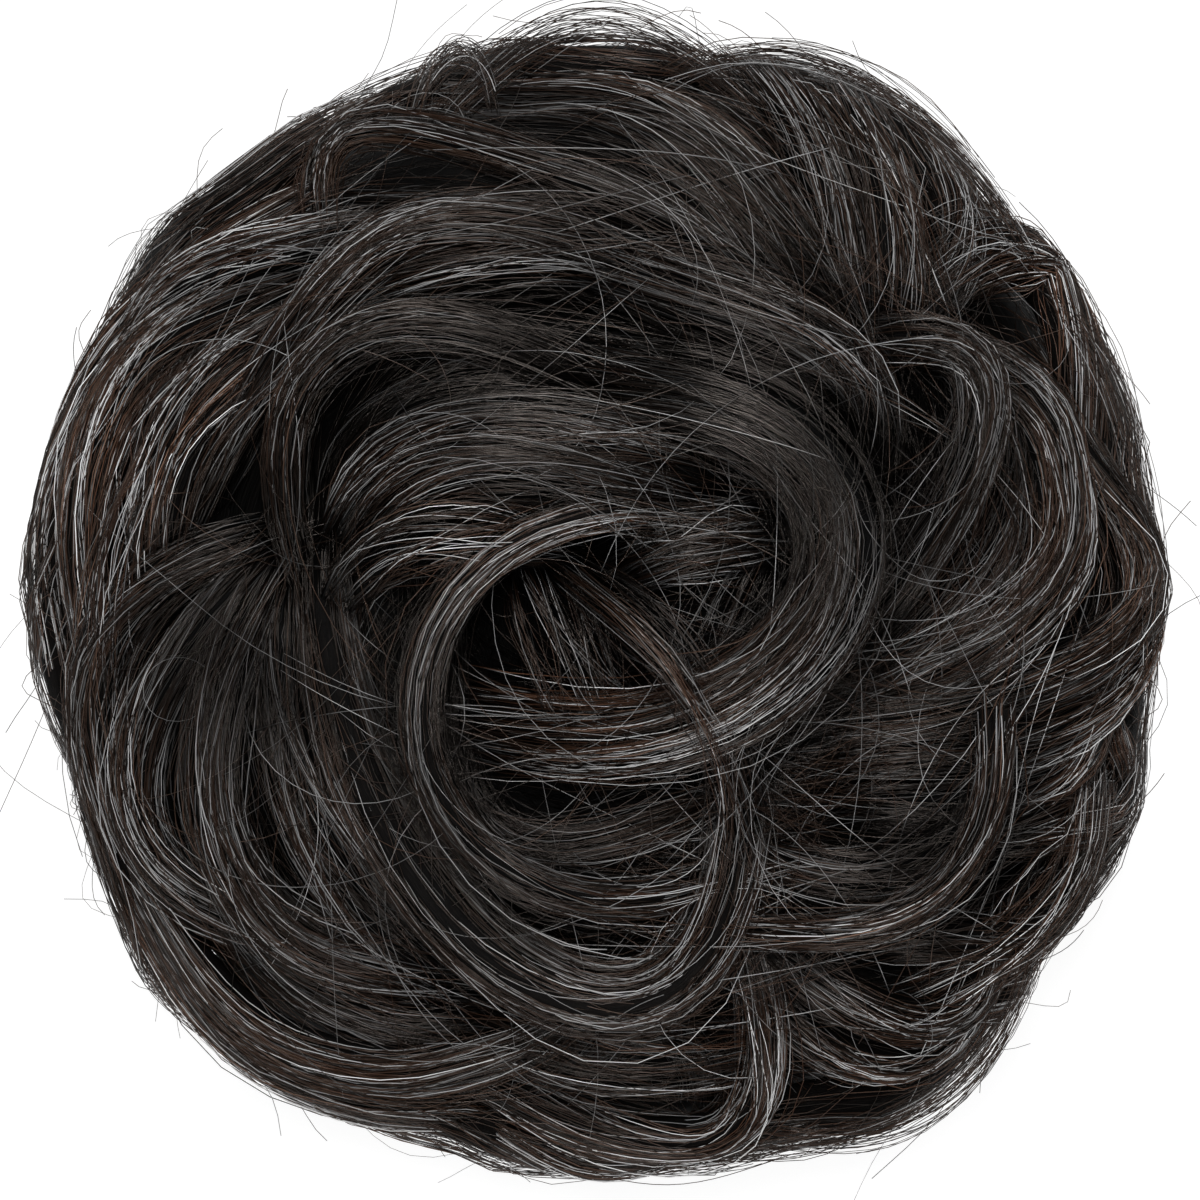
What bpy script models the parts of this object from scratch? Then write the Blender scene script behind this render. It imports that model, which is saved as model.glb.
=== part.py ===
"""Top knot hairpiece: a dome of looped hair locks on a hollow backing, held on by an elastic band.

Metres, +Z up. The origin is on the surface that the hairpiece rests on, under the middle of its box.
The wearer's own bun goes up through the band into the hollow. Seen from above, +Y is the top.
"""
import math
from collections import namedtuple

import bmesh
import bpy
import numpy as np
from mathutils import Matrix, Vector

# Overall sizes of the dome of locks
BUN_DIAMETER = 0.130
BUN_HEIGHT = 0.060
EQUATOR_HEIGHT = 0.024
DOME_POWER = 2.3

# The topmost locks ring the middle of the dome, where the dome has fallen by this much
CROWN_FALL = 0.0025

# Thickness of a lock: a flat part plus a share of its width
LOCK_THICKNESS = 0.0018
LOCK_FLATNESS = 0.55
LAYER_RISE = 0.0023
SEGMENT_LENGTH = 0.0092
FEWEST_SEGMENTS = 5
MEASURING_STEPS = 24
NORMAL_STEP = 0.01
LOCK_SIDES = 6
END_TUCK = 0.0060
END_ROUNDING = 0.6
GAP = 0.0003
LARGEST_CRUMB = 0.0120
SHARP_ANGLE = 40.0

# Backing that the outer locks are fused to
BACKING_DEPTH = 0.0030
ROOT_DEPTH = 0.0030
RIDGE_RISE = 0.0060
RIDGE_RADIUS = 0.0290
RIDGE_WIDTH = 0.0105
WELL_RADIUS = 0.0150
WELL_DEPTH = 0.0090
RESTING_RADIUS = 0.041
BACKING_SECTORS = 28
BACKING_RINGS = 9

# Elastic band, its seat, and the hollow for the wearer's own bun
BAND_INNER_RADIUS = 0.0190
BAND_WALL = 0.0050
BAND_HEIGHT = 0.0060
BAND_ROUNDING = 0.0012
HOLLOW_RADIUS = 0.0215
HOLLOW_HEIGHT = 0.0290
HOLLOW_SHOULDER = 0.0080
HOLLOW_STEPS = 4
ROUND_SIDES = 28

# Locks that wrap the side round and below the widest line, in rows from the widest line down
SIDE_LOCKS = 9
SIDE_LOCK_TURN = 54.0
SIDE_LOCK_WIDTH = 0.17
SIDE_LOCK_END = 0.5
SIDE_LOCK_FULLNESS = 0.35

# A lock runs on one smooth curve from start to end, seen from above. Places and widths are shares of
# the bun's radius and headings are degrees, 0 along +X and 90 along +Y. The width at an end is a
# share of the width in the middle. A layer is a step of LAYER_RISE above the dome.
End = namedtuple("End", "x y heading width layer")
Middle = namedtuple("Middle", "fullness width layer")
Lock = namedtuple("Lock", "name start middle end")

# Rows of side locks: shares of the radius where a lock starts and ends, past 1 under the widest
# line, and which way round it turns
SideRow = namedtuple("SideRow", "start end direction")
SIDE_ROWS = (SideRow(0.97, 1.08, 1), SideRow(1.05, 1.20, -1), SideRow(1.16, 1.40, 1))

# Locks fused to the backing, from the rim inwards
OUTER_LOCKS = (
    Lock("outer_left", End(-.99, .00, 95, .8, 0), Middle(.38, .14, 0), End(-.51, .71, 25, .5, 1)),
    Lock("outer_low_left", End(-.87, -.45, -62, .7, 0), Middle(.38, .12, 1), End(-.20, -.945, -8, .5, 0)),
    Lock("outer_bottom", End(-.23, -.945, -18, .5, 0), Middle(.36, .10, 0), End(.17, -.96, 25, .5, 0)),
    Lock("outer_low_right", End(.64, -.755, -100, .5, 0), Middle(.30, .09, 0), End(.18, -.96, 165, .5, 0)),
    Lock("outer_right", End(.98, .07, -85, .6, 0), Middle(.50, .11, 1), End(.39, -.27, 185, .5, 1)),
    Lock("top_outer", End(-.18, .93, 0, .6, 0), Middle(.42, .12, 1), End(.41, .49, -65, .5, 1)),
    Lock("fan_first", End(.28, .94, -45, .9, 0), Middle(.35, .11, 1), End(.46, .47, -85, .4, 1)),
    Lock("fan_third", End(.52, .86, -35, .9, 0), Middle(.55, .10, 1), End(.565, .505, -125, .4, 1)),
    Lock("shoulder_right", End(.48, .467, 50, .4, 1), Middle(.85, .13, 1), End(.90, .26, -80, .6, 0)),
    Lock("left_upper", End(-.92, -.02, 98, .5, 1), Middle(.45, .13, 1), End(-.50, .60, 15, .5, 1)),
    Lock("left_middle", End(-.80, .08, 92, .5, 1), Middle(.40, .13, 2), End(-.45, .53, 25, .5, 1)),
    Lock("left_low_outer", End(-.59, .13, 195, .4, 1), Middle(.55, .12, 1), End(-.85, -.48, -70, .6, 0)),
    Lock("right_hook", End(.94, -.23, -75, .6, 0), Middle(.60, .08, 1), End(.70, -.43, 185, .5, 1)),
    Lock("right_third", End(.92, -.20, -100, .5, 1), Middle(.35, .09, 1), End(.42, -.36, 178, .5, 1)),
    Lock("low_right_outer", End(.87, -.515, -105, .6, 0), Middle(.42, .09, 1), End(.59, -.72, 185, .5, 1)),
    Lock("low_loop_outer", End(.70, -.61, -105, .5, 1), Middle(.60, .08, 1), End(.25, -.62, 115, .5, 2)),
    Lock("bottom_fill", End(-.70, -.50, -48, .5, 1), Middle(.38, .12, 1), End(-.14, -.78, 5, .5, 1)),
    Lock("top_inner", End(-.16, .86, 0, .6, 1), Middle(.38, .13, 2), End(.44, .455, -45, .5, 2)),
    Lock("curl_under", End(-.50, .69, -8, .6, 1), Middle(.35, .10, 2), End(.20, .64, -25, .5, 1)),
    Lock("fan_second", End(.42, .91, -50, .9, 1), Middle(.40, .11, 2), End(.52, .48, -100, .4, 2)),
    Lock("left_ledge", End(-.85, .46, 60, .5, 1), Middle(.40, .10, 2), End(-.33, .675, 10, .5, 2)),
    Lock("left_low_second", End(-.61, .07, 225, .4, 2), Middle(.60, .12, 2), End(-.54, -.585, -10, .5, 1)),
    Lock("left_low_fourth", End(-.57, .02, 262, .4, 2), Middle(.36, .10, 2), End(-.30, -.66, -35, .5, 2)),
    Lock("right_second", End(.85, .34, -50, .5, 1), Middle(.68, .11, 2), End(.39, -.21, 185, .5, 2)),
    Lock("right_inner", End(.68, .42, -40, .5, 2), Middle(.45, .08, 2), End(.49, -.155, 220, .5, 2)),
    Lock("low_right_second", End(.87, -.43, -95, .5, 1), Middle(.50, .08, 2), End(.49, -.60, 185, .5, 2)),
    Lock("low_loop_inner", End(.28, -.59, -40, .5, 2), Middle(.50, .09, 2), End(.70, -.60, 75, .5, 2)),
    Lock("swirl_inner", End(-.06, -.825, 50, .5, 1), Middle(.50, .07, 2), End(.18, -.85, -90, .5, 1)),
    Lock("fan_upper", End(-.47, .20, 75, .5, 1), Middle(.40, .10, 2), End(.12, .32, -25, .5, 2)),
    Lock("left_low_fifth", End(-.53, .03, 270, .4, 2), Middle(.35, .09, 3), End(-.30, -.585, -50, .5, 2)),
    Lock("low_right_inner", End(.25, -.43, -25, .5, 2), Middle(.42, .085, 3), End(.67, -.34, 65, .5, 2)),
)

# Locks that are pieces of their own, from the lowest to the topmost
UPPER_LOCKS = (
    Lock("curl_lock", End(-.50, .69, 95, .6, 2), Middle(.38, .07, 3), End(.35, .515, -45, .5, 2)),
    Lock("outer_arc_lock", End(-.70, .21, 65, .5, 2), Middle(.55, .08, 3.5), End(.165, .57, -25, .5, 2)),
    Lock("left_sweep_lock", End(-.59, .05, 240, .4, 2), Middle(.50, .11, 3), End(-.335, -.67, -10, .5, 2)),
    Lock("bottom_arc_lock", End(-.83, -.48, -60, .5, 1), Middle(.45, .10, 3), End(-.01, -.69, 50, .5, 2)),
    Lock("swirl_lock", End(.26, -.60, -75, .5, 2), Middle(.75, .09, 3), End(-.23, -.875, 160, .5, 1)),
    Lock("right_outer_lock", End(.63, .45, -20, .5, 2), Middle(.63, .12, 3), End(.49, -.16, 195, .5, 2)),
    Lock("inner_arc_lock", End(-.54, .06, 105, .5, 2), Middle(.72, .075, 4), End(.08, .34, -35, .5, 3)),
    Lock("right_inner_lock", End(.445, .465, 10, .5, 2), Middle(.70, .10, 4), End(.47, -.03, 230, .5, 2)),
    Lock("upper_sweep_lock", End(.01, .60, -20, .6, 3), Middle(.45, .12, 4), End(.455, .21, -115, .5, 2)),
    Lock("lower_ring_lock", End(-.50, .08, 270, .5, 2), Middle(.84, .09, 4), End(.24, -.335, 90, .5, 3)),
    Lock("well_side_lock", End(-.28, -.04, 265, .5, 2), Middle(.71, .075, 3), End(.215, -.34, 25, .5, 3)),
    Lock("inner_bar_lock", End(.0, .06, 25, .5, 1), Middle(.35, .10, 4), End(.33, .14, 5, .6, 4)),
    Lock("blunt_lock", End(.70, -.19, -88, 1., 4), Middle(.50, .065, 5), End(.25, -.58, 175, .5, 4)),
    Lock("top_fan_lock", End(-.43, .14, 60, .5, 3), Middle(.38, .18, 4.5), End(.215, .21, -15, .5, 4)),
    Lock("left_ring_lock", End(.11, .17, 178, .6, 5), Middle(.93, .065, 5.5), End(.18, -.50, 15, .5, 3)),
    Lock("right_ring_lock", End(.08, .38, -8, .6, 5), Middle(.92, .16, 6), End(-.18, -.22, 168, .5, 3)),
    Lock("cross_lock", End(-.095, .08, -38, .5, 2), Middle(.38, .06, 6.5), End(.245, -.395, -82, .6, 4)),
)


def clear_scene():
    for item in list(bpy.data.objects):
        bpy.data.objects.remove(item, do_unlink=True)


def make_material(name, color, roughness):
    material = bpy.data.materials.new(name)
    material.use_nodes = True
    shader = material.node_tree.nodes["Principled BSDF"]
    shader.inputs["Base Color"].default_value = (*color, 1.0)
    shader.inputs["Roughness"].default_value = roughness
    shader.inputs["Metallic"].default_value = 0.0
    material.diffuse_color = (*color, 1.0)
    return material


def lock_thickness(width):
    return LOCK_THICKNESS + LOCK_FLATNESS * width


def thickest_lock():
    widths = [lock.middle.width for lock in UPPER_LOCKS]
    return lock_thickness(max(widths) * BUN_DIAMETER / 2)


def dome_crown():
    """Height of the dome's middle, under the layers that bring the bun to its full height."""
    top_layer = max(lock.middle.layer for lock in UPPER_LOCKS)
    return BUN_HEIGHT - top_layer * LAYER_RISE - thickest_lock() / 2 + CROWN_FALL


def side_thickness():
    """Half the thickness of the locks on the rim, which brings the bun to its full diameter."""
    widths = [lock.middle.width for lock in OUTER_LOCKS]
    return lock_thickness(float(np.mean(widths)) * BUN_DIAMETER / 2) / 2


def dome_height(share):
    """Height above the widest line at a share of the radius, as a share of the dome's rise."""
    return (1.0 - min(share, 1.0) ** DOME_POWER) ** (1.0 / DOME_POWER)


def dome_point(x, y, rise):
    """A place seen from above, as shares of the radius. Past 1 it turns under the widest line."""
    share = math.hypot(x, y)
    radius = BUN_DIAMETER / 2 - side_thickness()
    if share <= 1.0:
        height = EQUATOR_HEIGHT + (dome_crown() - EQUATOR_HEIGHT) * dome_height(share)
        return Vector((radius * x, radius * y, height + rise))
    under = 2.0 - share
    height = EQUATOR_HEIGHT * (1.0 - dome_height(under))
    scale = radius * under / share
    return Vector((scale * x, scale * y, height + rise))


def dome_normal(x, y):
    """Outward direction of the dome at a place seen from above."""
    share = math.hypot(x, y)
    if share < NORMAL_STEP:
        return Vector((0.0, 0.0, 1.0))
    inner, outer = (share - NORMAL_STEP) / share, (share + NORMAL_STEP) / share
    outwards = dome_point(x * outer, y * outer, 0.0) - dome_point(x * inner, y * inner, 0.0)
    return outwards.cross(Vector((-y, x, 0.0))).normalized()


def heading_vector(degrees):
    return np.array((math.cos(math.radians(degrees)), math.sin(math.radians(degrees))))


def lock_route(lock, t):
    """Place along a lock seen from above: a cubic curve that leaves and arrives on its headings."""
    first = np.array((lock.start.x, lock.start.y))
    last = np.array((lock.end.x, lock.end.y))
    reach = lock.middle.fullness * np.linalg.norm(last - first)
    second = first + reach * heading_vector(lock.start.heading)
    third = last - reach * heading_vector(lock.end.heading)
    s = 1.0 - t
    return s ** 3 * first + 3 * s * s * t * second + 3 * s * t * t * third + t ** 3 * last


def blend_ends(start, middle, end, t):
    """Value along a lock that starts, peaks and ends at three sizes, rounded towards its middle."""
    edge = start * (1.0 - t) + end * t
    return edge + (middle - edge) * max(math.sin(math.pi * t), 0.0) ** END_ROUNDING


def lock_rise(lock, t):
    """Height of a lock's middle line above the dome. The narrower an end, the deeper it tucks in."""
    first = lock.start.layer * LAYER_RISE - (1.0 - lock.start.width) * END_TUCK
    last = lock.end.layer * LAYER_RISE - (1.0 - lock.end.width) * END_TUCK
    return blend_ends(first, lock.middle.layer * LAYER_RISE, last, t)


def lock_places(lock):
    """Places along a lock: share of its length, rise over the dome, point and outward direction."""
    routes = [lock_route(lock, i / MEASURING_STEPS) for i in range(MEASURING_STEPS + 1)]
    length = sum(np.linalg.norm(b - a) for a, b in zip(routes, routes[1:])) * BUN_DIAMETER / 2
    segments = max(FEWEST_SEGMENTS, round(length / SEGMENT_LENGTH))
    places = []
    for i in range(segments + 1):
        t = i / segments
        x, y = lock_route(lock, t)
        rise = lock_rise(lock, t)
        places.append((t, rise, dome_point(x, y, rise), dome_normal(x, y)))
    return places


def lock_mesh(lock, grow=0.0, rooted=False):
    """Sweep a rounded section along a lock. A cutter grows by the gap, and a root joins the backing."""
    mesh = bmesh.new()
    places = lock_places(lock)
    final = len(places) - 1
    rings = []
    for i, (t, rise, place, normal) in enumerate(places):
        along = (places[min(i + 1, final)][2] - places[max(i - 1, 0)][2]).normalized()
        side = along.cross(normal).normalized()
        up = side.cross(along).normalized()
        spread = blend_ends(lock.start.width, 1.0, lock.end.width, t)
        width = spread * lock.middle.width * BUN_DIAMETER / 2
        half_width = width / 2 + grow
        half_thickness = lock_thickness(width) / 2 + grow
        root = rise + BACKING_DEPTH + ROOT_DEPTH if rooted else 0.0
        lengthened = -grow if i == 0 else grow if i == final else 0.0
        ring = []
        for k in range(LOCK_SIDES):
            angle = 2 * math.pi * k / LOCK_SIDES
            lift = math.sin(angle) * half_thickness - (root if k > LOCK_SIDES // 2 else 0.0)
            corner = place + along * lengthened + side * math.cos(angle) * half_width + up * lift
            ring.append(mesh.verts.new(corner))
        rings.append(ring)
    for near, far in zip(rings, rings[1:]):
        for k in range(LOCK_SIDES):
            n = (k + 1) % LOCK_SIDES
            mesh.faces.new((near[k], near[n], far[n], far[k]))
    mesh.faces.new(rings[0])
    mesh.faces.new(list(reversed(rings[-1])))
    bmesh.ops.recalc_face_normals(mesh, faces=mesh.faces)
    bmesh.ops.triangulate(mesh, faces=mesh.faces)
    return mesh


def add_object(name, mesh):
    data = bpy.data.meshes.new(name)
    mesh.to_mesh(data)
    mesh.free()
    item = bpy.data.objects.new(name, data)
    bpy.context.scene.collection.objects.link(item)
    return item


def turned_mesh(profile, sectors):
    """Turn a closed profile of (radius, height) corners round +Z. Corners at radius 0 meet there."""
    mesh = bmesh.new()
    rings = []
    for radius, height in profile:
        if radius <= 0.0:
            rings.append([mesh.verts.new((0.0, 0.0, height))])
            continue
        angles = [2 * math.pi * k / sectors for k in range(sectors)]
        rings.append([mesh.verts.new((radius * math.cos(a), radius * math.sin(a), height)) for a in angles])
    closed = profile[0][0] > 0.0
    pairs = list(zip(rings, rings[1:])) + ([(rings[-1], rings[0])] if closed else [])
    for near, far in pairs:
        for k in range(sectors):
            n = (k + 1) % sectors
            corners = [near[k % len(near)], near[n % len(near)], far[n % len(far)], far[k % len(far)]]
            mesh.faces.new(list(dict.fromkeys(corners)))
    bmesh.ops.recalc_face_normals(mesh, faces=mesh.faces)
    return mesh


def combine(target, others, operation):
    """Join or cut a solid by other solids, keep the result as its mesh and remove the others."""
    group = bpy.data.collections.new(target.name + "_operands")
    for item in others:
        bpy.context.scene.collection.objects.unlink(item)
        group.objects.link(item)
    bpy.context.scene.collection.children.link(group)
    modifier = target.modifiers.new(operation.lower(), "BOOLEAN")
    modifier.operation = operation
    modifier.solver = "EXACT"
    modifier.operand_type = "COLLECTION"
    modifier.collection = group
    bpy.context.view_layer.update()
    shape = target.evaluated_get(bpy.context.evaluated_depsgraph_get())
    result = bpy.data.meshes.new_from_object(shape)
    target.modifiers.clear()
    target.data = result
    for item in others:
        bpy.data.objects.remove(item, do_unlink=True)
    bpy.data.collections.remove(group)


def backing_profile():
    """Corners of the thick hair backing: over the top with its well, and under to where it rests."""
    radius = BUN_DIAMETER / 2 - side_thickness() - BACKING_DEPTH
    crown = dome_crown() - BACKING_DEPTH
    corners = []
    for i in range(BACKING_RINGS):
        share = i / BACKING_RINGS
        height = EQUATOR_HEIGHT + (crown - EQUATOR_HEIGHT) * dome_height(share)
        dip = WELL_DEPTH * math.exp(-(share * radius / WELL_RADIUS) ** 2)
        ridge = RIDGE_RISE * math.exp(-((share * radius - RIDGE_RADIUS) / RIDGE_WIDTH) ** 2)
        corners.append((radius * share, height + ridge - dip))
    for i in range(BACKING_RINGS // 2 + 1):
        angle = i / (BACKING_RINGS // 2) * math.pi / 2
        reach = RESTING_RADIUS + (radius - RESTING_RADIUS) * math.cos(angle)
        corners.append((reach, EQUATOR_HEIGHT * (1.0 - math.sin(angle))))
    corners.append((0.0, 0.0))
    return corners


def hollow_profile():
    """Corners of the cutter for the band's seat and the hollow above it, with a rounded roof."""
    seat = BAND_INNER_RADIUS + BAND_WALL + GAP
    step = BAND_HEIGHT + GAP
    below = -BAND_HEIGHT
    corners = [(0.0, below), (seat, below), (seat, step), (HOLLOW_RADIUS, step)]
    for i in range(HOLLOW_STEPS + 1):
        angle = i / HOLLOW_STEPS * math.pi / 2
        reach = HOLLOW_RADIUS - HOLLOW_SHOULDER * (1.0 - math.cos(angle))
        corners.append((reach, HOLLOW_HEIGHT - HOLLOW_SHOULDER * (1.0 - math.sin(angle))))
    corners.append((0.0, HOLLOW_HEIGHT))
    return corners


def band_profile():
    """Corners of the elastic band: flat underneath, rounded edges on top."""
    outer = BAND_INNER_RADIUS + BAND_WALL
    shoulder = BAND_HEIGHT - BAND_ROUNDING
    return [
        (BAND_INNER_RADIUS, 0.0),
        (outer, 0.0),
        (outer, shoulder),
        (outer - BAND_ROUNDING, BAND_HEIGHT),
        (BAND_INNER_RADIUS + BAND_ROUNDING, BAND_HEIGHT),
        (BAND_INNER_RADIUS, shoulder),
    ]


def side_lock(index, row):
    """A lock on the side. Each row starts half a step further round than the row above it."""
    place = SIDE_ROWS[row]
    turn = SIDE_LOCK_TURN * place.direction
    angle = 360.0 / SIDE_LOCKS * (index + 0.5 * row)
    start = place.start * heading_vector(angle)
    end = place.end * heading_vector(angle + turn)
    quarter = math.copysign(90.0, turn)
    return Lock(
        f"side_{row}_{index}",
        End(start[0], start[1], angle + quarter, SIDE_LOCK_END, 0),
        Middle(SIDE_LOCK_FULLNESS, SIDE_LOCK_WIDTH, 0),
        End(end[0], end[1], angle + turn + quarter, SIDE_LOCK_END, 0),
    )


def below_surface():
    """Block under the surface that the hairpiece rests on. It flattens what would reach lower."""
    mesh = bmesh.new()
    bmesh.ops.create_cube(mesh, size=1.0)
    size = Vector((2 * BUN_DIAMETER, 2 * BUN_DIAMETER, BUN_HEIGHT))
    bmesh.ops.transform(mesh, matrix=Matrix.Diagonal((*size, 1.0)), verts=mesh.verts)
    bmesh.ops.translate(mesh, vec=Vector((0.0, 0.0, -size.z / 2)), verts=mesh.verts)
    return add_object("below_surface", mesh)


def clearances(locks):
    """Solids of the given locks grown by the gap, to cut what lies under them."""
    return [add_object(lock.name + "_clearance", lock_mesh(lock, grow=GAP)) for lock in locks]


def make_hair_base():
    base = add_object("hair_base", turned_mesh(backing_profile(), BACKING_SECTORS))
    side_locks = [side_lock(i, row) for row in range(len(SIDE_ROWS)) for i in range(SIDE_LOCKS)]
    locks = list(OUTER_LOCKS) + side_locks
    combine(base, [add_object(lock.name, lock_mesh(lock, rooted=True)) for lock in locks], "UNION")
    cutters = [add_object("hollow", turned_mesh(hollow_profile(), ROUND_SIDES)), below_surface()]
    combine(base, cutters + clearances(UPPER_LOCKS), "DIFFERENCE")
    return base


def make_upper_lock(order):
    """One lock, with room cut for the locks that lie on top of it."""
    lock = UPPER_LOCKS[order]
    piece = add_object(lock.name, lock_mesh(lock))
    above = UPPER_LOCKS[order + 1:]
    if above:
        combine(piece, clearances(above), "DIFFERENCE")
    return piece


def make_elastic_band():
    return add_object("elastic_band", turned_mesh(band_profile(), ROUND_SIDES))


def joined_faces(first):
    """All faces that hang together with the first one."""
    found = {first}
    waiting = [first]
    while waiting:
        for edge in waiting.pop().edges:
            for face in edge.link_faces:
                if face not in found:
                    found.add(face)
                    waiting.append(face)
    return found


def remove_crumbs(mesh):
    """Delete the loose crumbs that a cut shaves off a lock, and fill small bubbles between locks."""
    left = set(mesh.faces)
    crumbs = []
    while left:
        body = joined_faces(next(iter(left)))
        left -= body
        corners = np.array([vertex.co for face in body for vertex in face.verts])
        if np.linalg.norm(np.ptp(corners, axis=0)) < LARGEST_CRUMB:
            crumbs.extend(body)
    if crumbs:
        bmesh.ops.delete(mesh, geom=crumbs, context="FACES")


def finish_mesh(piece, material):
    """Clear crumbs off the piece, give it its material and shade its round faces smooth."""
    mesh = bmesh.new()
    mesh.from_mesh(piece.data)
    mesh.faces.ensure_lookup_table()
    remove_crumbs(mesh)
    bmesh.ops.triangulate(mesh, faces=mesh.faces)
    mesh.to_mesh(piece.data)
    mesh.free()
    piece.data.materials.clear()
    piece.data.materials.append(material)
    piece.data.shade_smooth()
    piece.data.set_sharp_from_angle(angle=math.radians(SHARP_ANGLE))


def centre_on_box(pieces):
    """Move all pieces so that the middle of their box stands over the origin."""
    corners = np.array([vertex.co for piece in pieces for vertex in piece.data.vertices])
    low, high = corners.min(axis=0), corners.max(axis=0)
    shift = Vector((-(low[0] + high[0]) / 2, -(low[1] + high[1]) / 2, -low[2]))
    for piece in pieces:
        piece.data.transform(Matrix.Translation(shift))


def build():
    clear_scene()
    hair = make_material("hair_fibre", (0.020, 0.015, 0.012), 0.42)
    lock_hair = make_material("lock_fibre", (0.034, 0.027, 0.022), 0.40)
    elastic = make_material("elastic", (0.010, 0.010, 0.010), 0.80)
    base = make_hair_base()
    locks = [make_upper_lock(order) for order in range(len(UPPER_LOCKS))]
    band = make_elastic_band()
    finish_mesh(base, hair)
    finish_mesh(band, elastic)
    for piece in locks:
        finish_mesh(piece, lock_hair)
    centre_on_box([base, band] + locks)


build()
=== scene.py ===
import math
from collections import namedtuple

import bpy
import numpy as np
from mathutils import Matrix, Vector


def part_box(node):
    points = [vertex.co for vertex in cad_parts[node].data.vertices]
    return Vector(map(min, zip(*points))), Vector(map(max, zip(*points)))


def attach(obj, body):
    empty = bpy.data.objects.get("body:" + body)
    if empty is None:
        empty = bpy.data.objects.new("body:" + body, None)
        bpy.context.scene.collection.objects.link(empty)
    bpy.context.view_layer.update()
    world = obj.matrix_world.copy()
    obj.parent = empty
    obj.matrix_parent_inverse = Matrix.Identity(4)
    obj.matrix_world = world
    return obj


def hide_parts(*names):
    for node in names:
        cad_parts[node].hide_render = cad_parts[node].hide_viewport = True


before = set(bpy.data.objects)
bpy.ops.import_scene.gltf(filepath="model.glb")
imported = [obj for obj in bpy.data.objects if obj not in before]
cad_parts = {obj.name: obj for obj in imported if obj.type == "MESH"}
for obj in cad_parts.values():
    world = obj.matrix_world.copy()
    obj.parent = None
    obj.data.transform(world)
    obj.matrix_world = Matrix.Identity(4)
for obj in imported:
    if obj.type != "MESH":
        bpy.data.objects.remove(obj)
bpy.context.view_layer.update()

# The dome that the locks lie on, as in the frame, in metres
BUN_DIAMETER = 0.130
RADIUS = BUN_DIAMETER / 2
BUN_HEIGHT = 0.060
EQUATOR_HEIGHT = 0.024
DOME_POWER = 2.3
CROWN_FALL = 0.0025
LOCK_THICKNESS = 0.0018
LOCK_FLATNESS = 0.55
LAYER_RISE = 0.0023
END_TUCK = 0.0060
END_ROUNDING = 0.6
BACKING_DEPTH = 0.0030
RIDGE_RISE = 0.0060
RIDGE_RADIUS = 0.0290
RIDGE_WIDTH = 0.0105
WELL_RADIUS = 0.0150
WELL_DEPTH = 0.0090
RESTING_RADIUS = 0.041
BAND_RADIUS = 0.0243
BAND_TOP = 0.0063
HOLLOW_RADIUS = 0.0215
HOLLOW_HEIGHT = 0.0290
HOLLOW_SHOULDER = 0.0080
SIDE_LOCKS = 9
SIDE_LOCK_TURN = 54.0
SIDE_LOCK_WIDTH = 0.17
SIDE_LOCK_END = 0.5
SIDE_LOCK_FULLNESS = 0.35

# Fibre, and how densely each group of locks is filled with it
FIBRE_RADIUS = 0.000062
FIBRE_SIDES = 3
UPPER_STRANDS_PER_MM = 23
OUTER_STRANDS_PER_MM = 15
SIDE_STRANDS_PER_MM = 5.5
FAN_STRANDS_PER_MM = 8
BOW_STRANDS = 70
BOW_HEIGHT = 0.027
STRAND_SAMPLES = 140
ANY_PHASE = 6.3
LONGEST_STEP = 0.0065
TURN_PER_STEP = 15.0
OVERRUN = 0.12
OVERRUN_FALL = 0.0045
FLY_AWAY_REACH = 0.0745
FLOW_REACH = 0.09

# How much wider strands spread at a lock's ends than in its middle
OUTER_END_SPREAD = 0.18
UPPER_END_SPREAD = 0.40
THIN_END_SPREAD = 0.10

# Shares of a lock's strands that end early, run on their own, bow out of it or leave it, and of its
# clumps that cross it
SHORT_SHARE = 0.10
SINGLE_SHARE = 0.24
LOOSE_SHARE = 0.22
LEAVING_SHARE = 0.16
CROSSING_SHARE = 0.34

# Bodies under the fibre
CORE_SHARE = 0.86
CORE_SIDES = 16
CORE_STEP = 0.0042
CORE_TINT = 0.75
BACKING_SECTORS = 96
BACKING_TINT = 0.3
STRAND_SLOT = 0
CORE_SLOT = 1

# The lowest that each of them comes over what the bun rests on, and where fibre starts to turn in
FIBRE_FLOOR = 0.0004
CORE_FLOOR = 0.0003
BACKING_FLOOR = 0.0002
TURN_IN_HEIGHT = 0.0016
TURN_IN_LIMIT = 0.0060
TURN_IN = 25.0

# How much light reaches fibre: by its depth between the locks, near the rim and in pockets
SHADE_START_MM = 0.2
SHADE_DEPTH_MM = 1.05
SHADE_POWER = 1.8
RIM_START = 0.86
RIM_FADE = 0.10
POCKET_STRENGTH = 1.3
POCKET_TOP_MM = 1.0
POCKET_FADE_MM = 1.4
TONE_CONTRAST = 1.2
LIGHTEST = 0.75

# Colours of single fibres, and how much of the dark fibre is black
BLACK = (0.0020, 0.0011, 0.0007)
BROWN = (0.0180, 0.0082, 0.0046)
ASH = (0.0430, 0.0250, 0.0170)
GREY = (0.2440, 0.2440, 0.2460)
BLACK_SHARE = 0.38

# The height field: cells across it, how far it reaches in shares of the radius, and how many times
# it is smoothed for the shade, the loose strands and the veils
FIELD_CELLS = 150
FIELD_REACH = 1.1
SHADE_ROUNDS = 7
LOOSE_ROUNDS = 3
VEIL_ROUNDS = 2

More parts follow.
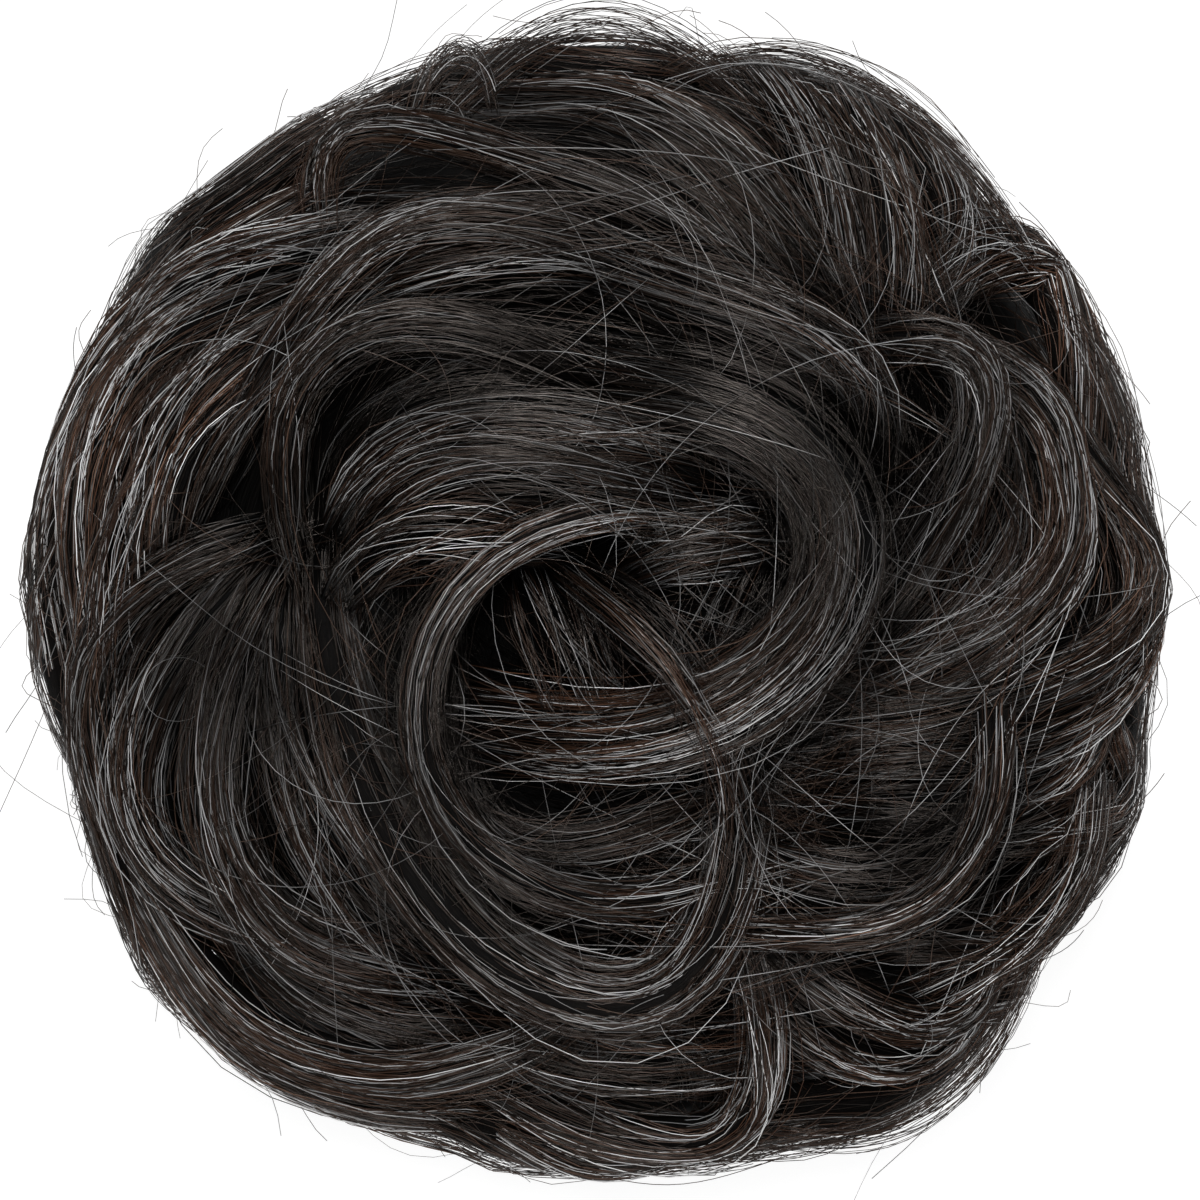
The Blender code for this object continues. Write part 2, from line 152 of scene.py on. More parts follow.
# The view and the light
VIEW_SPAN = 0.1363
VIEW_SHIFT = (-0.0003, 0.0005)
LENS = 240.0
SENSOR = 36.0
FLOOR_REACH = 3.0
FLOOR_GLOW = 0.86
FLOOR_TONE = 0.25
WORLD_LIGHT = 0.14
Lamp = namedtuple("Lamp", "name place size power")
LAMPS = (
    Lamp("north_light", (0.05, 0.72, 0.72), 0.40, 6.0),
    Lamp("south_light", (-0.05, -0.72, 0.72), 0.40, 4.2),
    Lamp("overhead_light", (-0.04, 0.12, 1.0), 0.20, 3.8),
)

# A lock runs on one smooth curve from start to end, seen from above. Places and widths are shares of
# the bun's radius and headings are degrees, 0 along +X and 90 along +Y. The width at an end is a
# share of the width in the middle. A layer is a step of LAYER_RISE above the dome.
End = namedtuple("End", "x y heading width layer")
Middle = namedtuple("Middle", "fullness width layer")
Lock = namedtuple("Lock", "name start middle end")


def locks(*rows):
    """Locks from rows of a name, a start, a middle and an end."""
    return tuple(Lock(name, End(*start), Middle(*middle), End(*end)) for name, start, middle, end in rows)


SideRow = namedtuple("SideRow", "start end direction")
SIDE_ROWS = (SideRow(0.97, 1.08, 1), SideRow(1.05, 1.20, -1), SideRow(1.16, 1.40, 1))

OUTER_LOCKS = locks(
    ("outer_left", (-.99, .00, 95, .8, 0), (.38, .14, 0), (-.51, .71, 25, .5, 1)),
    ("outer_low_left", (-.87, -.45, -62, .7, 0), (.38, .12, 1), (-.20, -.945, -8, .5, 0)),
    ("outer_bottom", (-.23, -.945, -18, .5, 0), (.36, .10, 0), (.17, -.96, 25, .5, 0)),
    ("outer_low_right", (.64, -.755, -100, .5, 0), (.30, .09, 0), (.18, -.96, 165, .5, 0)),
    ("outer_right", (.98, .07, -85, .6, 0), (.50, .11, 1), (.39, -.27, 185, .5, 1)),
    ("top_outer", (-.18, .93, 0, .6, 0), (.42, .12, 1), (.41, .49, -65, .5, 1)),
    ("fan_first", (.28, .94, -45, .9, 0), (.35, .11, 1), (.46, .47, -85, .4, 1)),
    ("fan_third", (.52, .86, -35, .9, 0), (.55, .10, 1), (.565, .505, -125, .4, 1)),
    ("shoulder_right", (.48, .467, 50, .4, 1), (.85, .13, 1), (.90, .26, -80, .6, 0)),
    ("left_upper", (-.92, -.02, 98, .5, 1), (.45, .13, 1), (-.50, .60, 15, .5, 1)),
    ("left_middle", (-.80, .08, 92, .5, 1), (.40, .13, 2), (-.45, .53, 25, .5, 1)),
    ("left_low_outer", (-.59, .13, 195, .4, 1), (.55, .12, 1), (-.85, -.48, -70, .6, 0)),
    ("right_hook", (.94, -.23, -75, .6, 0), (.60, .08, 1), (.70, -.43, 185, .5, 1)),
    ("right_third", (.92, -.20, -100, .5, 1), (.35, .09, 1), (.42, -.36, 178, .5, 1)),
    ("low_right_outer", (.87, -.515, -105, .6, 0), (.42, .09, 1), (.59, -.72, 185, .5, 1)),
    ("low_loop_outer", (.70, -.61, -105, .5, 1), (.60, .08, 1), (.25, -.62, 115, .5, 2)),
    ("bottom_fill", (-.70, -.50, -48, .5, 1), (.38, .12, 1), (-.14, -.78, 5, .5, 1)),
    ("top_inner", (-.16, .86, 0, .6, 1), (.38, .13, 2), (.44, .455, -45, .5, 2)),
    ("curl_under", (-.50, .69, -8, .6, 1), (.35, .10, 2), (.20, .64, -25, .5, 1)),
    ("fan_second", (.42, .91, -50, .9, 1), (.40, .11, 2), (.52, .48, -100, .4, 2)),
    ("left_ledge", (-.85, .46, 60, .5, 1), (.40, .10, 2), (-.33, .675, 10, .5, 2)),
    ("left_low_second", (-.61, .07, 225, .4, 2), (.60, .12, 2), (-.54, -.585, -10, .5, 1)),
    ("left_low_fourth", (-.57, .02, 262, .4, 2), (.36, .10, 2), (-.30, -.66, -35, .5, 2)),
    ("right_second", (.85, .34, -50, .5, 1), (.68, .11, 2), (.39, -.21, 185, .5, 2)),
    ("right_inner", (.68, .42, -40, .5, 2), (.45, .08, 2), (.49, -.155, 220, .5, 2)),
    ("low_right_second", (.87, -.43, -95, .5, 1), (.50, .08, 2), (.49, -.60, 185, .5, 2)),
    ("low_loop_inner", (.28, -.59, -40, .5, 2), (.50, .09, 2), (.70, -.60, 75, .5, 2)),
    ("swirl_inner", (-.06, -.825, 50, .5, 1), (.50, .07, 2), (.18, -.85, -90, .5, 1)),
    ("fan_upper", (-.47, .20, 75, .5, 1), (.40, .10, 2), (.12, .32, -25, .5, 2)),
    ("left_low_fifth", (-.53, .03, 270, .4, 2), (.35, .09, 3), (-.30, -.585, -50, .5, 2)),
    ("low_right_inner", (.25, -.43, -25, .5, 2), (.42, .085, 3), (.67, -.34, 65, .5, 2)),
)
UPPER_LOCKS = locks(
    ("curl_lock", (-.50, .69, 95, .6, 2), (.38, .07, 3), (.35, .515, -45, .5, 2)),
    ("outer_arc_lock", (-.70, .21, 65, .5, 2), (.55, .08, 3.5), (.165, .57, -25, .5, 2)),
    ("left_sweep_lock", (-.59, .05, 240, .4, 2), (.50, .11, 3), (-.335, -.67, -10, .5, 2)),
    ("bottom_arc_lock", (-.83, -.48, -60, .5, 1), (.45, .10, 3), (-.01, -.69, 50, .5, 2)),
    ("swirl_lock", (.26, -.60, -75, .5, 2), (.75, .09, 3), (-.23, -.875, 160, .5, 1)),
    ("right_outer_lock", (.63, .45, -20, .5, 2), (.63, .12, 3), (.49, -.16, 195, .5, 2)),
    ("inner_arc_lock", (-.54, .06, 105, .5, 2), (.72, .075, 4), (.08, .34, -35, .5, 3)),
    ("right_inner_lock", (.445, .465, 10, .5, 2), (.70, .10, 4), (.47, -.03, 230, .5, 2)),
    ("upper_sweep_lock", (.01, .60, -20, .6, 3), (.45, .12, 4), (.455, .21, -115, .5, 2)),
    ("lower_ring_lock", (-.50, .08, 270, .5, 2), (.84, .09, 4), (.24, -.335, 90, .5, 3)),
    ("well_side_lock", (-.28, -.04, 265, .5, 2), (.71, .075, 3), (.215, -.34, 25, .5, 3)),
    ("inner_bar_lock", (.0, .06, 25, .5, 1), (.35, .10, 4), (.33, .14, 5, .6, 4)),
    ("blunt_lock", (.70, -.19, -88, 1., 4), (.50, .065, 5), (.25, -.58, 175, .5, 4)),
    ("top_fan_lock", (-.43, .14, 60, .5, 3), (.38, .18, 4.5), (.215, .21, -15, .5, 4)),
    ("left_ring_lock", (.11, .17, 178, .6, 5), (.93, .065, 5.5), (.18, -.50, 15, .5, 3)),
    ("right_ring_lock", (.08, .38, -8, .6, 5), (.92, .16, 6), (-.18, -.22, 168, .5, 3)),
    ("cross_lock", (-.095, .08, -38, .5, 2), (.38, .06, 6.5), (.245, -.395, -82, .6, 4)),
)

# Hollows and swells of the outline seen from above: the angle, how far round and how much it reaches
Lobe = namedtuple("Lobe", "angle reach swell")
LOBES = (
    Lobe(15, 9, -.045), Lobe(48, 7, -.015), Lobe(68, 10, .015), Lobe(98, 10, -.022), Lobe(120, 8, .026),
    Lobe(150, 8, .012), Lobe(230, 12, .030), Lobe(256, 7, -.030), Lobe(305, 12, .030), Lobe(346, 8, -.028),
)
LOBE_START = 0.60
LOBE_FULL = 0.92

# How single locks differ: how light they are at their start, middle and end (partly their own tone and
# partly painted highlight and shade), how much of them is grey, the share of fibre that they keep, how far
# their strands spread and how far they run past the end
Look = namedtuple("Look", "tones grey_share fill spread end", defaults=(0.24, 1.0, 1.0, OVERRUN))
PLAIN_LOOK = Look((1.0, 1.0, 1.0), 0.22)
SIDE_LOOK = Look((1.0, 1.0, 1.0), 0.12)
FAN_LOOK = Look((1.0, 1.0, 1.0), 0.28)
LOCK_LOOKS = {
    "cross_lock": Look((1.8, 1.4, 0.8), 0.26, 0.50, 1.7),
    "curl_lock": Look((1.0, 0.9, 0.6), 0.20, 0.80),
    "inner_arc_lock": Look((0.5, 0.5, 0.4), 0.16, 0.80),
    "outer_arc_lock": Look((0.8, 1.1, 0.7), 0.20, 0.95),
    "well_side_lock": Look((0.6, 0.5, 1.0), 0.18, 0.75),
    "left_sweep_lock": Look((0.4, 0.9, 0.9), 0.22, 0.95),
    "right_outer_lock": Look((1.2, 0.9, 0.7), 0.22),
    "right_inner_lock": Look((0.6, 0.6, 0.6), 0.18, 0.95),
    "upper_sweep_lock": Look((1.1, 1.1, 0.7)),
    "top_fan_lock": Look((2.0, 0.50, 0.7), 0.26, 1.00, 1.0, -0.06),
    "inner_bar_lock": Look((0.9, 1.4, 2.4), 0.28, 1.00, 1.25),
    "right_ring_lock": Look((0.45, 0.55, 3.4), 0.28),
    "left_ring_lock": Look((2.8, 0.5, 0.8), 0.26, 1.20, 1.2),
    "lower_ring_lock": Look((0.6, 0.9, 0.8), 0.26, 1.30, 1.55),
    "bottom_arc_lock": Look((1.1, 1.0, 0.8), 0.22),
    "swirl_lock": Look((1.3, 1.6, 1.2), 0.22),
    "blunt_lock": Look((0.8, 1.2, 1.2), 0.22, 1.00, 0.8),
    "fan_first": Look((1.0, 1.1, 1.0)),
    "fan_second": Look((1.0, 1.1, 0.9)),
    "fan_third": Look((1.1, 1.3, 0.9), 0.26),
    "fan_upper": Look((0.6, 0.6, 0.6), 0.20),
    "shoulder_right": Look((1.1, 2.2, 1.3), 0.28),
    "curl_under": Look((0.8, 0.6, 0.6), 0.20),
    "top_inner": Look((0.9, 0.7, 0.7), 0.20),
    "left_low_outer": Look((0.6, 0.6, 1.2), 0.22),
    "left_low_second": Look((0.5, 0.7, 1.0), 0.22),
    "left_low_fourth": Look((0.4, 0.6, 0.8), 0.22),
    "left_low_fifth": Look((0.4, 0.6, 0.8), 0.22),
    "outer_left": Look((2.2, 2.0, 1.4)),
    "left_upper": Look((1.6, 2.2, 1.4)),
    "outer_low_left": Look((1.4, 1.5, 1.2)),
    "outer_bottom": Look((1.4, 1.7, 1.7)),
    "outer_low_right": Look((2.2, 2.4, 1.8), 0.26),
    "low_right_outer": Look((1.8, 2.0, 1.4)),
    "low_loop_outer": Look((1.3, 1.5, 1.0)),
    "outer_right": Look((2.0, 1.6, 1.1)),
    "right_third": Look((1.7, 1.5, 1.4)),
    "right_hook": Look((1.9, 1.8, 1.4)),
    "left_middle": Look((1.2, 1.4, 1.2)),
    "left_ledge": Look((1.2, 1.5, 1.2)),
    "top_outer": Look((1.2, 1.0, 0.9)),
}

# Places seen from above, in shares of the radius: pockets between locks that little light reaches, and
# sheens at the rim and on the ridges where hair catches more than the lamps alone give it. The last
# number is how light the middle is: 1 changes nothing and less is darker.
Area = namedtuple("Area", "x y reach light")
POCKETS = tuple(Area._make(row) for row in (
    (.18, .47, .10, .25), (.29, .42, .08, .30), (-.13, .48, .10, .22), (-.03, .48, .09, .28),
    (.08, .44, .09, .35), (-.18, .40, .10, .28), (.24, .34, .10, .15), (.12, .74, .12, .45),
    (-.03, .74, .13, .22), (.57, .30, .10, .18), (.44, .29, .09, .20), (.49, .21, .08, .18),
    (.38, .23, .09, .25), (.43, .08, .09, .35), (.31, .14, .05, .45), (-.15, -.02, .13, .15),
    (.04, .03, .06, .60), (.18, .01, .11, .20), (.31, .05, .08, .45), (-.20, -.30, .07, .40),
    (-.29, -.14, .12, .18), (-.22, -.20, .09, .25), (-.25, -.08, .08, .45), (-.13, -.55, .09, .35),
    (-.30, -.49, .09, .35), (-.09, -.48, .08, .45), (-.04, -.31, .06, .40), (-.05, -.12, .06, .45),
    (.45, -.38, .09, .28), (.56, -.39, .08, .28), (-.57, .15, .08, .35), (-.44, .07, .09, .20),
    (-.62, -.15, .13, .30), (-.72, -.05, .09, .40), (-.40, .42, .10, .60), (-.39, .29, .07, .50),
    (-.37, .13, .06, .45), (.30, -.27, .05, .55), (.13, .22, .06, .55), (-.56, -.21, .08, .50),
    (.21, .34, .08, .60), (.30, .64, .08, .60), (-.30, .64, .08, .70),
))
SHEENS = tuple(Area._make(row) for row in (
    (.73, .47, .10, 1.7), (.46, -.74, .12, 1.8), (.65, -.55, .09, 1.5), (.90, .0, .09, 1.5),
    (.73, -.13, .12, 1.3), (-.81, .25, .11, 1.5), (-.81, -.04, .08, 1.6), (.03, .90, .10, 1.5),
    (-.47, -.13, .08, 1.4), (.10, -.50, .12, 1.2), (-.58, .40, .10, 1.25),
))

# Bows of loose fibre that stand out past the outline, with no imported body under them
BOWS = locks(
    ("top_bow", (-.26, .86, 52, .6, 0), (.56, .07, 0), (.26, .85, -52, .6, 0)),
    ("top_left_curl", (-.32, .85, 80, .6, 0), (1.1, .04, 0), (-.19, .88, -80, .6, 0)),
    ("top_right_bow", (.15, .92, 30, .6, 0), (.40, .05, 0), (.71, .64, -66, .6, 0)),
    ("upper_left_bow", (-.80, .52, 62, .6, 0), (.36, .05, 0), (-.40, .85, 22, .6, 0)),
    ("right_bow", (.82, .48, -50, .6, 0), (.36, .05, 0), (.94, -.06, -96, .6, 0)),
    ("low_right_bow", (.30, -.92, -12, .6, 0), (.46, .05, 0), (.74, -.62, 78, .6, 0)),
    ("bottom_bow", (-.05, -.95, -20, .6, 0), (.40, .04, 0), (.34, -.92, 22, .6, 0)),
)

# Thin fans of fibre between the locks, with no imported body
FANS = locks(
    ("well_fan_left", (-.13, .09, -62, .2, 3), (.33, .15, 3.5), (.02, -.25, -50, 1.2, 3)),
    ("well_fan_right", (.30, .10, -130, .4, 3), (.40, .14, 3), (.10, -.17, -150, 1.0, 3)),
    ("low_left_fan", (-.45, .04, 52, .5, 4), (.40, .13, 4.6), (-.08, .115, -8, .6, 4)),
    ("bottom_fan", (-.20, -.76, -14, .8, 2), (.36, .14, 2.4), (.26, -.79, 16, .8, 2)),
    ("low_right_fan", (.88, -.34, -100, .8, 1), (.40, .14, 1.6), (.55, -.68, -160, .8, 1)),
    ("upper_left_fan", (-.46, .53, 25, .8, 2), (.36, .12, 2.6), (.02, .60, -12, .8, 2)),
    ("right_fan", (.91, .24, -78, .8, .5), (.40, .12, 1), (.87, -.20, -102, .8, .5)),
    ("left_fan", (-.89, -.12, 95, .8, 1), (.38, .12, 1.5), (-.70, .45, 60, .8, 1)),
)
# How light each fan is at its start, middle and end: its own tone with painted highlight and shade
FAN_TONES_AND_LIGHT = {
    "well_fan_right": (0.4, 0.4, 0.6),
    "low_left_fan": (0.2, 2.1, 1.0),
    "left_fan": (1.5, 1.6, 1.4),
    "right_fan": (1.4, 1.4, 1.4),
    "low_right_fan": (0.7, 1.4, 1.4),
    "upper_left_fan": (0.8, 0.7, 0.5),
}

# Where the dome's axis stands in the frame: the elastic band is turned round it
band_low, band_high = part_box("elastic_band")
AXIS = np.array(((band_low[0] + band_high[0]) / 2, (band_low[1] + band_high[1]) / 2, 0.0))

# Each kind of piece draws from its own run of random numbers
SEED = 20
UPPER_SEED = SEED + 100
SIDE_SEED = SEED + 200
BOW_SEED = SEED + 250
FAN_SEED = SEED + 270
FILLING_SEED = SEED + 300
LOOSE_SEED = SEED + 400
VEIL_SEED = SEED + 450
FLY_AWAY_SEED = SEED + 500


def lock_thickness(width):
    return LOCK_THICKNESS + LOCK_FLATNESS * width


TOP_LAYER = max(lock.middle.layer for lock in UPPER_LOCKS)
THICKEST = lock_thickness(max(lock.middle.width for lock in UPPER_LOCKS) * RADIUS)
CROWN = BUN_HEIGHT - TOP_LAYER * LAYER_RISE - THICKEST / 2 + CROWN_FALL
RIM_HALF = lock_thickness(np.mean([lock.middle.width for lock in OUTER_LOCKS]) * RADIUS) / 2
DOME_RADIUS = RADIUS - RIM_HALF


def dome_height(share):
    return (1.0 - np.clip(share, 0.0, 1.0) ** DOME_POWER) ** (1.0 / DOME_POWER)


def dome_over(share):
    """Height of the dome at a share of its radius."""
    return EQUATOR_HEIGHT + (CROWN - EQUATOR_HEIGHT) * dome_height(share)


def lobe_scale(plan, share):
    """How far the outline's hollows and swells move a place."""
    angle = np.degrees(np.arctan2(plan[..., 1], plan[..., 0]))
    swell = np.zeros(share.shape)
    for lobe in LOBES:
        apart = (angle - lobe.angle + 180.0) % 360.0 - 180.0
        swell = swell + lobe.swell * np.exp(-(apart / lobe.reach) ** 2)
    near = np.clip((share - LOBE_START) / (LOBE_FULL - LOBE_START), 0.0, 1.0)
    return 1.0 + swell * near * near * (3.0 - 2.0 * near)


def dome_points(plan, rise):
    """Places seen from above, in shares of the radius, to points. Past 1 they turn under the rim."""
    plan = np.asarray(plan, dtype=float)
    share = np.linalg.norm(plan, axis=-1)
    under = EQUATOR_HEIGHT * (1.0 - dome_height(2.0 - share))
    height = np.where(share <= 1.0, dome_over(share), under)
    scale = np.where(share <= 1.0, 1.0, (2.0 - share) / np.maximum(share, 1e-6)) * DOME_RADIUS
    flat = plan * (scale * lobe_scale(plan, share))[..., None]
    return np.concatenate((flat, (height + rise)[..., None]), axis=-1)


def unit(vectors):
    return vectors / np.maximum(np.linalg.norm(vectors, axis=-1, keepdims=True), 1e-12)


def dome_normals(plan):
    """Outward directions of the dome."""
    share = np.maximum(np.linalg.norm(plan, axis=-1), 1e-3)[..., None]
    step = 0.01
    outer = dome_points(plan * (1 + step / share), 0.0)
    inner = dome_points(plan * (1 - step / share), 0.0)
    around = np.stack((-plan[..., 1], plan[..., 0], np.zeros(plan.shape[:-1])), axis=-1)
    return unit(np.cross(outer - inner, around + np.array((0.0, 1e-9, 0.0))))


def backing_rise(share):
    """Height of the backing over the dome: a ridge round a well in the middle."""
    reach = share * DOME_RADIUS
    ridge = RIDGE_RISE * np.exp(-((reach - RIDGE_RADIUS) / RIDGE_WIDTH) ** 2)
    return ridge - BACKING_DEPTH - WELL_DEPTH * np.exp(-(reach / WELL_RADIUS) ** 2)


def heading_vector(degrees):
    return np.array((math.cos(math.radians(degrees)), math.sin(math.radians(degrees))))


def lock_route(lock, t):
    """Places along a lock, seen from above. Past its ends it runs straight on."""
    first = np.array((lock.start.x, lock.start.y))
    last = np.array((lock.end.x, lock.end.y))
    reach = lock.middle.fullness * np.linalg.norm(last - first)
    second = first + reach * heading_vector(lock.start.heading)
    third = last - reach * heading_vector(lock.end.heading)
    before = np.minimum(t, 0.0)[..., None] * 3 * (second - first)
    after = np.maximum(t - 1.0, 0.0)[..., None] * 3 * (last - third)
    t = np.clip(t, 0.0, 1.0)[..., None]
    s = 1.0 - t
    within = s ** 3 * first + 3 * s * s * t * second + 3 * s * t * t * third + t ** 3 * last
    return within + (before + after)


def blend_ends(start, middle, end, t):
    edge = start + (end - start) * np.clip(t, 0.0, 1.0)
    bulge = np.maximum(np.sin(np.pi * np.clip(t, 0.0, 1.0)), 0.0) ** END_ROUNDING
    return edge + (middle - edge) * bulge


Frames = namedtuple("Frames", "t centre side up half_width half_thickness")


def lock_frames(lock, count, overrun=0.0):
    """Centre, side and up directions, half width and half thickness at even steps along a lock."""
    t = np.linspace(-overrun, 1.0 + overrun, count)
    plan = lock_route(lock, t)
    first = lock.start.layer * LAYER_RISE - (1.0 - lock.start.width) * END_TUCK
    last = lock.end.layer * LAYER_RISE - (1.0 - lock.end.width) * END_TUCK
    rise = blend_ends(first, lock.middle.layer * LAYER_RISE, last, t)
    past = np.maximum(np.maximum(-t, t - 1.0), 0.0)
    centre = dome_points(plan, rise - past / OVERRUN * OVERRUN_FALL)
    along = unit(np.gradient(centre, axis=0))
    side = unit(np.cross(along, dome_normals(plan)))
    up = unit(np.cross(side, along))
    width = blend_ends(lock.start.width, 1.0, lock.end.width, t) * lock.middle.width * RADIUS
    return Frames(t, centre, side, up, width / 2, lock_thickness(width) / 2)


def lock_length(lock):
    centre = lock_frames(lock, 40).centre
    return float(np.linalg.norm(np.diff(centre, axis=0), axis=1).sum())


def lock_rings(lock):
    """Rings of a strand along a lock: close together where it turns sharply."""
    way = unit(np.diff(lock_frames(lock, 60).centre, axis=0))
    turning = np.degrees(np.arccos(np.clip((way[1:] * way[:-1]).sum(axis=1), -1.0, 1.0))).sum()
    return max(6, round(max(lock_length(lock) / LONGEST_STEP, turning / TURN_PER_STEP)) + 1)


def side_lock(index, row):
    place = SIDE_ROWS[row]
    turn = SIDE_LOCK_TURN * place.direction
    angle = 360.0 / SIDE_LOCKS * (index + 0.5 * row)
    start = place.start * heading_vector(angle)
    end = place.end * heading_vector(angle + turn)
    quarter = math.copysign(90.0, turn)
    return Lock(
        f"side_{row}_{index}",
        End(start[0], start[1], angle + quarter, SIDE_LOCK_END, 0),
        Middle(SIDE_LOCK_FULLNESS, SIDE_LOCK_WIDTH, 0),
        End(end[0], end[1], angle + turn + quarter, SIDE_LOCK_END, 0),
    )


def field_plan():
    """Middles of the height field's cells, and how far out they lie, in shares of the dome's radius."""
    axis = (np.arange(FIELD_CELLS) + 0.5) / FIELD_CELLS * (2 * FIELD_REACH) - FIELD_REACH
    x, y = np.meshgrid(axis, axis, indexing="ij")
    plan = np.stack((x, y), axis=-1) * RADIUS / DOME_RADIUS
    return plan, np.minimum(np.linalg.norm(plan, axis=-1), 1.0)


def field_cells(plan):
    """The height field's cell at each place."""
    cell = ((plan + FIELD_REACH) / (2 * FIELD_REACH) * FIELD_CELLS).astype(int)
    cell = np.clip(cell, 0, FIELD_CELLS - 1)
    return cell[..., 0], cell[..., 1]


def height_field():
    """Highest point of the locks in each cell seen from above."""
    field = np.full((FIELD_CELLS, FIELD_CELLS), -1.0)
    for lock in OUTER_LOCKS + UPPER_LOCKS:
        at = lock_frames(lock, 120)
        for share in np.linspace(-1.0, 1.0, 13):
            top = at.centre + at.side * (at.half_width * share)[:, None]
            top = top + at.up * (at.half_thickness * math.sqrt(1 - share * share))[:, None]
            np.maximum.at(field, field_cells(top[:, :2] / RADIUS), top[:, 2])
    plan, share = field_plan()
    return np.maximum(field, dome_points(plan, backing_rise(share))[..., 2])


def spread(field, rounds):
    """The field with its steps rounded off, a little nearer its peaks than a plain mean."""
    for _ in range(rounds):
        wide = np.pad(field, 1, mode="edge")
        rows = [wide[i:i + FIELD_CELLS] for i in range(3)]
        near = [row[:, j:j + FIELD_CELLS] for row in rows for j in range(3)]
        field = 0.35 * np.max(near, axis=0) + 0.65 * np.mean(near, axis=0)
    return field


def nearness(plan, area):
    """1 in the middle of an area, and close to 0 from twice its reach on."""
    apart = np.linalg.norm(plan - np.array((area.x, area.y)), axis=-1)
    return np.exp(-(apart / area.reach) ** 2)


def depth_shade(points):
    """How much light reaches each point: less deep between locks and in pockets, more in sheens."""
    plan = points[..., :2] / RADIUS
    share = np.linalg.norm(points[..., :2] / DOME_RADIUS, axis=-1)
    depth = (SHADE_RISE[field_cells(plan)] - (points[..., 2] - dome_over(share))) * 1000
    shade = 1.0 / (1.0 + (np.maximum(depth - SHADE_START_MM, 0.0) / SHADE_DEPTH_MM) ** SHADE_POWER)
    rim = np.clip((share - RIM_START) / RIM_FADE, 0.0, 1.0)
    shade = shade * (1.0 - rim) + rim
    below = np.clip((depth + POCKET_TOP_MM) / POCKET_FADE_MM, 0.0, 1.0)
    for pocket in POCKETS:
        shade = shade * pocket.light ** (POCKET_STRENGTH * below * nearness(plan, pocket))
    for sheen in SHEENS:
        shade = shade * sheen.light ** nearness(plan, sheen)
    return shade


TOPS = height_field()
SHADE_RISE = spread(TOPS - dome_over(field_plan()[1]), SHADE_ROUNDS)


# Meshes


def add_object(name, data):
    made = bpy.data.objects.new(name, data)
    bpy.context.scene.collection.objects.link(made)
    return made


class Pile:
    """Vertices, faces, colours and grain coordinates of one piece, gathered part by part."""

    def __init__(self):
        self.vertices, self.colours, self.grain, self.faces, self.slots = [], [], [], [], []
        self.count = 0

    def add(self, vertices, quads, triangles, colours, grain, slot):
        self.vertices.append(vertices)
        self.colours.append(colours)
        self.grain.append(grain)
        self.faces.append((quads + self.count, triangles + self.count))
        self.slots.append(slot)
        self.count += len(vertices)

    def build(self, name, materials):
        mesh = bpy.data.meshes.new(name)
        vertices = np.concatenate(self.vertices) + AXIS
        mesh.vertices.add(len(vertices))
        mesh.vertices.foreach_set("co", vertices.ravel())
        loops, totals, slots = [], [], []
        for (quads, triangles), slot in zip(self.faces, self.slots):
            loops += [quads.ravel(), triangles.ravel()]
            totals += [np.full(len(quads), 4), np.full(len(triangles), 3)]
            slots.append(np.full(len(quads) + len(triangles), slot))
        loops, totals, slots = (np.concatenate(x).astype(np.int32) for x in (loops, totals, slots))
        mesh.loops.add(len(loops))
        mesh.loops.foreach_set("vertex_index", loops)
        mesh.polygons.add(len(totals))
        starts = np.concatenate(([0], np.cumsum(totals)[:-1])).astype(np.int32)
        mesh.polygons.foreach_set("loop_start", starts)
        mesh.polygons.foreach_set("material_index", slots)
        mesh.update(calc_edges=True)
        mesh.polygons.foreach_set("use_smooth", np.ones(len(totals), dtype=bool))
        # Each point's own fibre colour times painted shade and highlight: by depth between the locks, in
        # pockets and sheens, and along locks and fans
        colour = mesh.color_attributes.new("fibre_colour_and_shade", "FLOAT_COLOR", "POINT")
        tint = np.concatenate(self.colours)
        colour.data.foreach_set("color", np.concatenate((tint, np.ones((len(tint), 1))), axis=1).ravel())
        grain = mesh.attributes.new("grain", "FLOAT_VECTOR", "POINT")
        grain.data.foreach_set("vector", np.concatenate(self.grain).ravel())
        for material in materials:
            mesh.materials.append(material)
        piece = add_object(name, mesh)
        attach(piece, "root")
        return piece


def tube_faces(strands, rings):
    """Quads along three-sided tubes, and the triangles that close their ends."""
    tube = rings * FIBRE_SIDES
    s, i, k = np.meshgrid(np.arange(strands), np.arange(rings - 1), np.arange(FIBRE_SIDES), indexing="ij")
    low = s * tube + i * FIBRE_SIDES
    high = low + FIBRE_SIDES
    n = (k + 1) % FIBRE_SIDES
    quads = np.stack((low + k, low + n, high + n, high + k), axis=-1).reshape(-1, 4)
    start = np.arange(strands)[:, None] * tube
    first = start + np.array((2, 1, 0))
    last = start + tube - FIBRE_SIDES + np.array((0, 1, 2))
    return quads, np.concatenate((first, last))


def sweep_faces(rings, sides):
    """Quads round a sweep, and a fan of triangles on each end, whose middles are the last two corners."""
    i, k = np.meshgrid(np.arange(rings - 1), np.arange(sides), indexing="ij")
    n = (k + 1) % sides
    low = i * sides
    high = low + sides
    quads = np.stack((low + k, low + n, high + n, high + k), axis=-1).reshape(-1, 4)
    k, n = k[0], n[0]
    end = (rings - 1) * sides
    middle = np.full(sides, rings * sides)
    first = np.stack((n, k, middle), axis=-1)
    last = np.stack((end + k, end + n, middle + 1), axis=-1)
    return quads, np.concatenate((first, last))


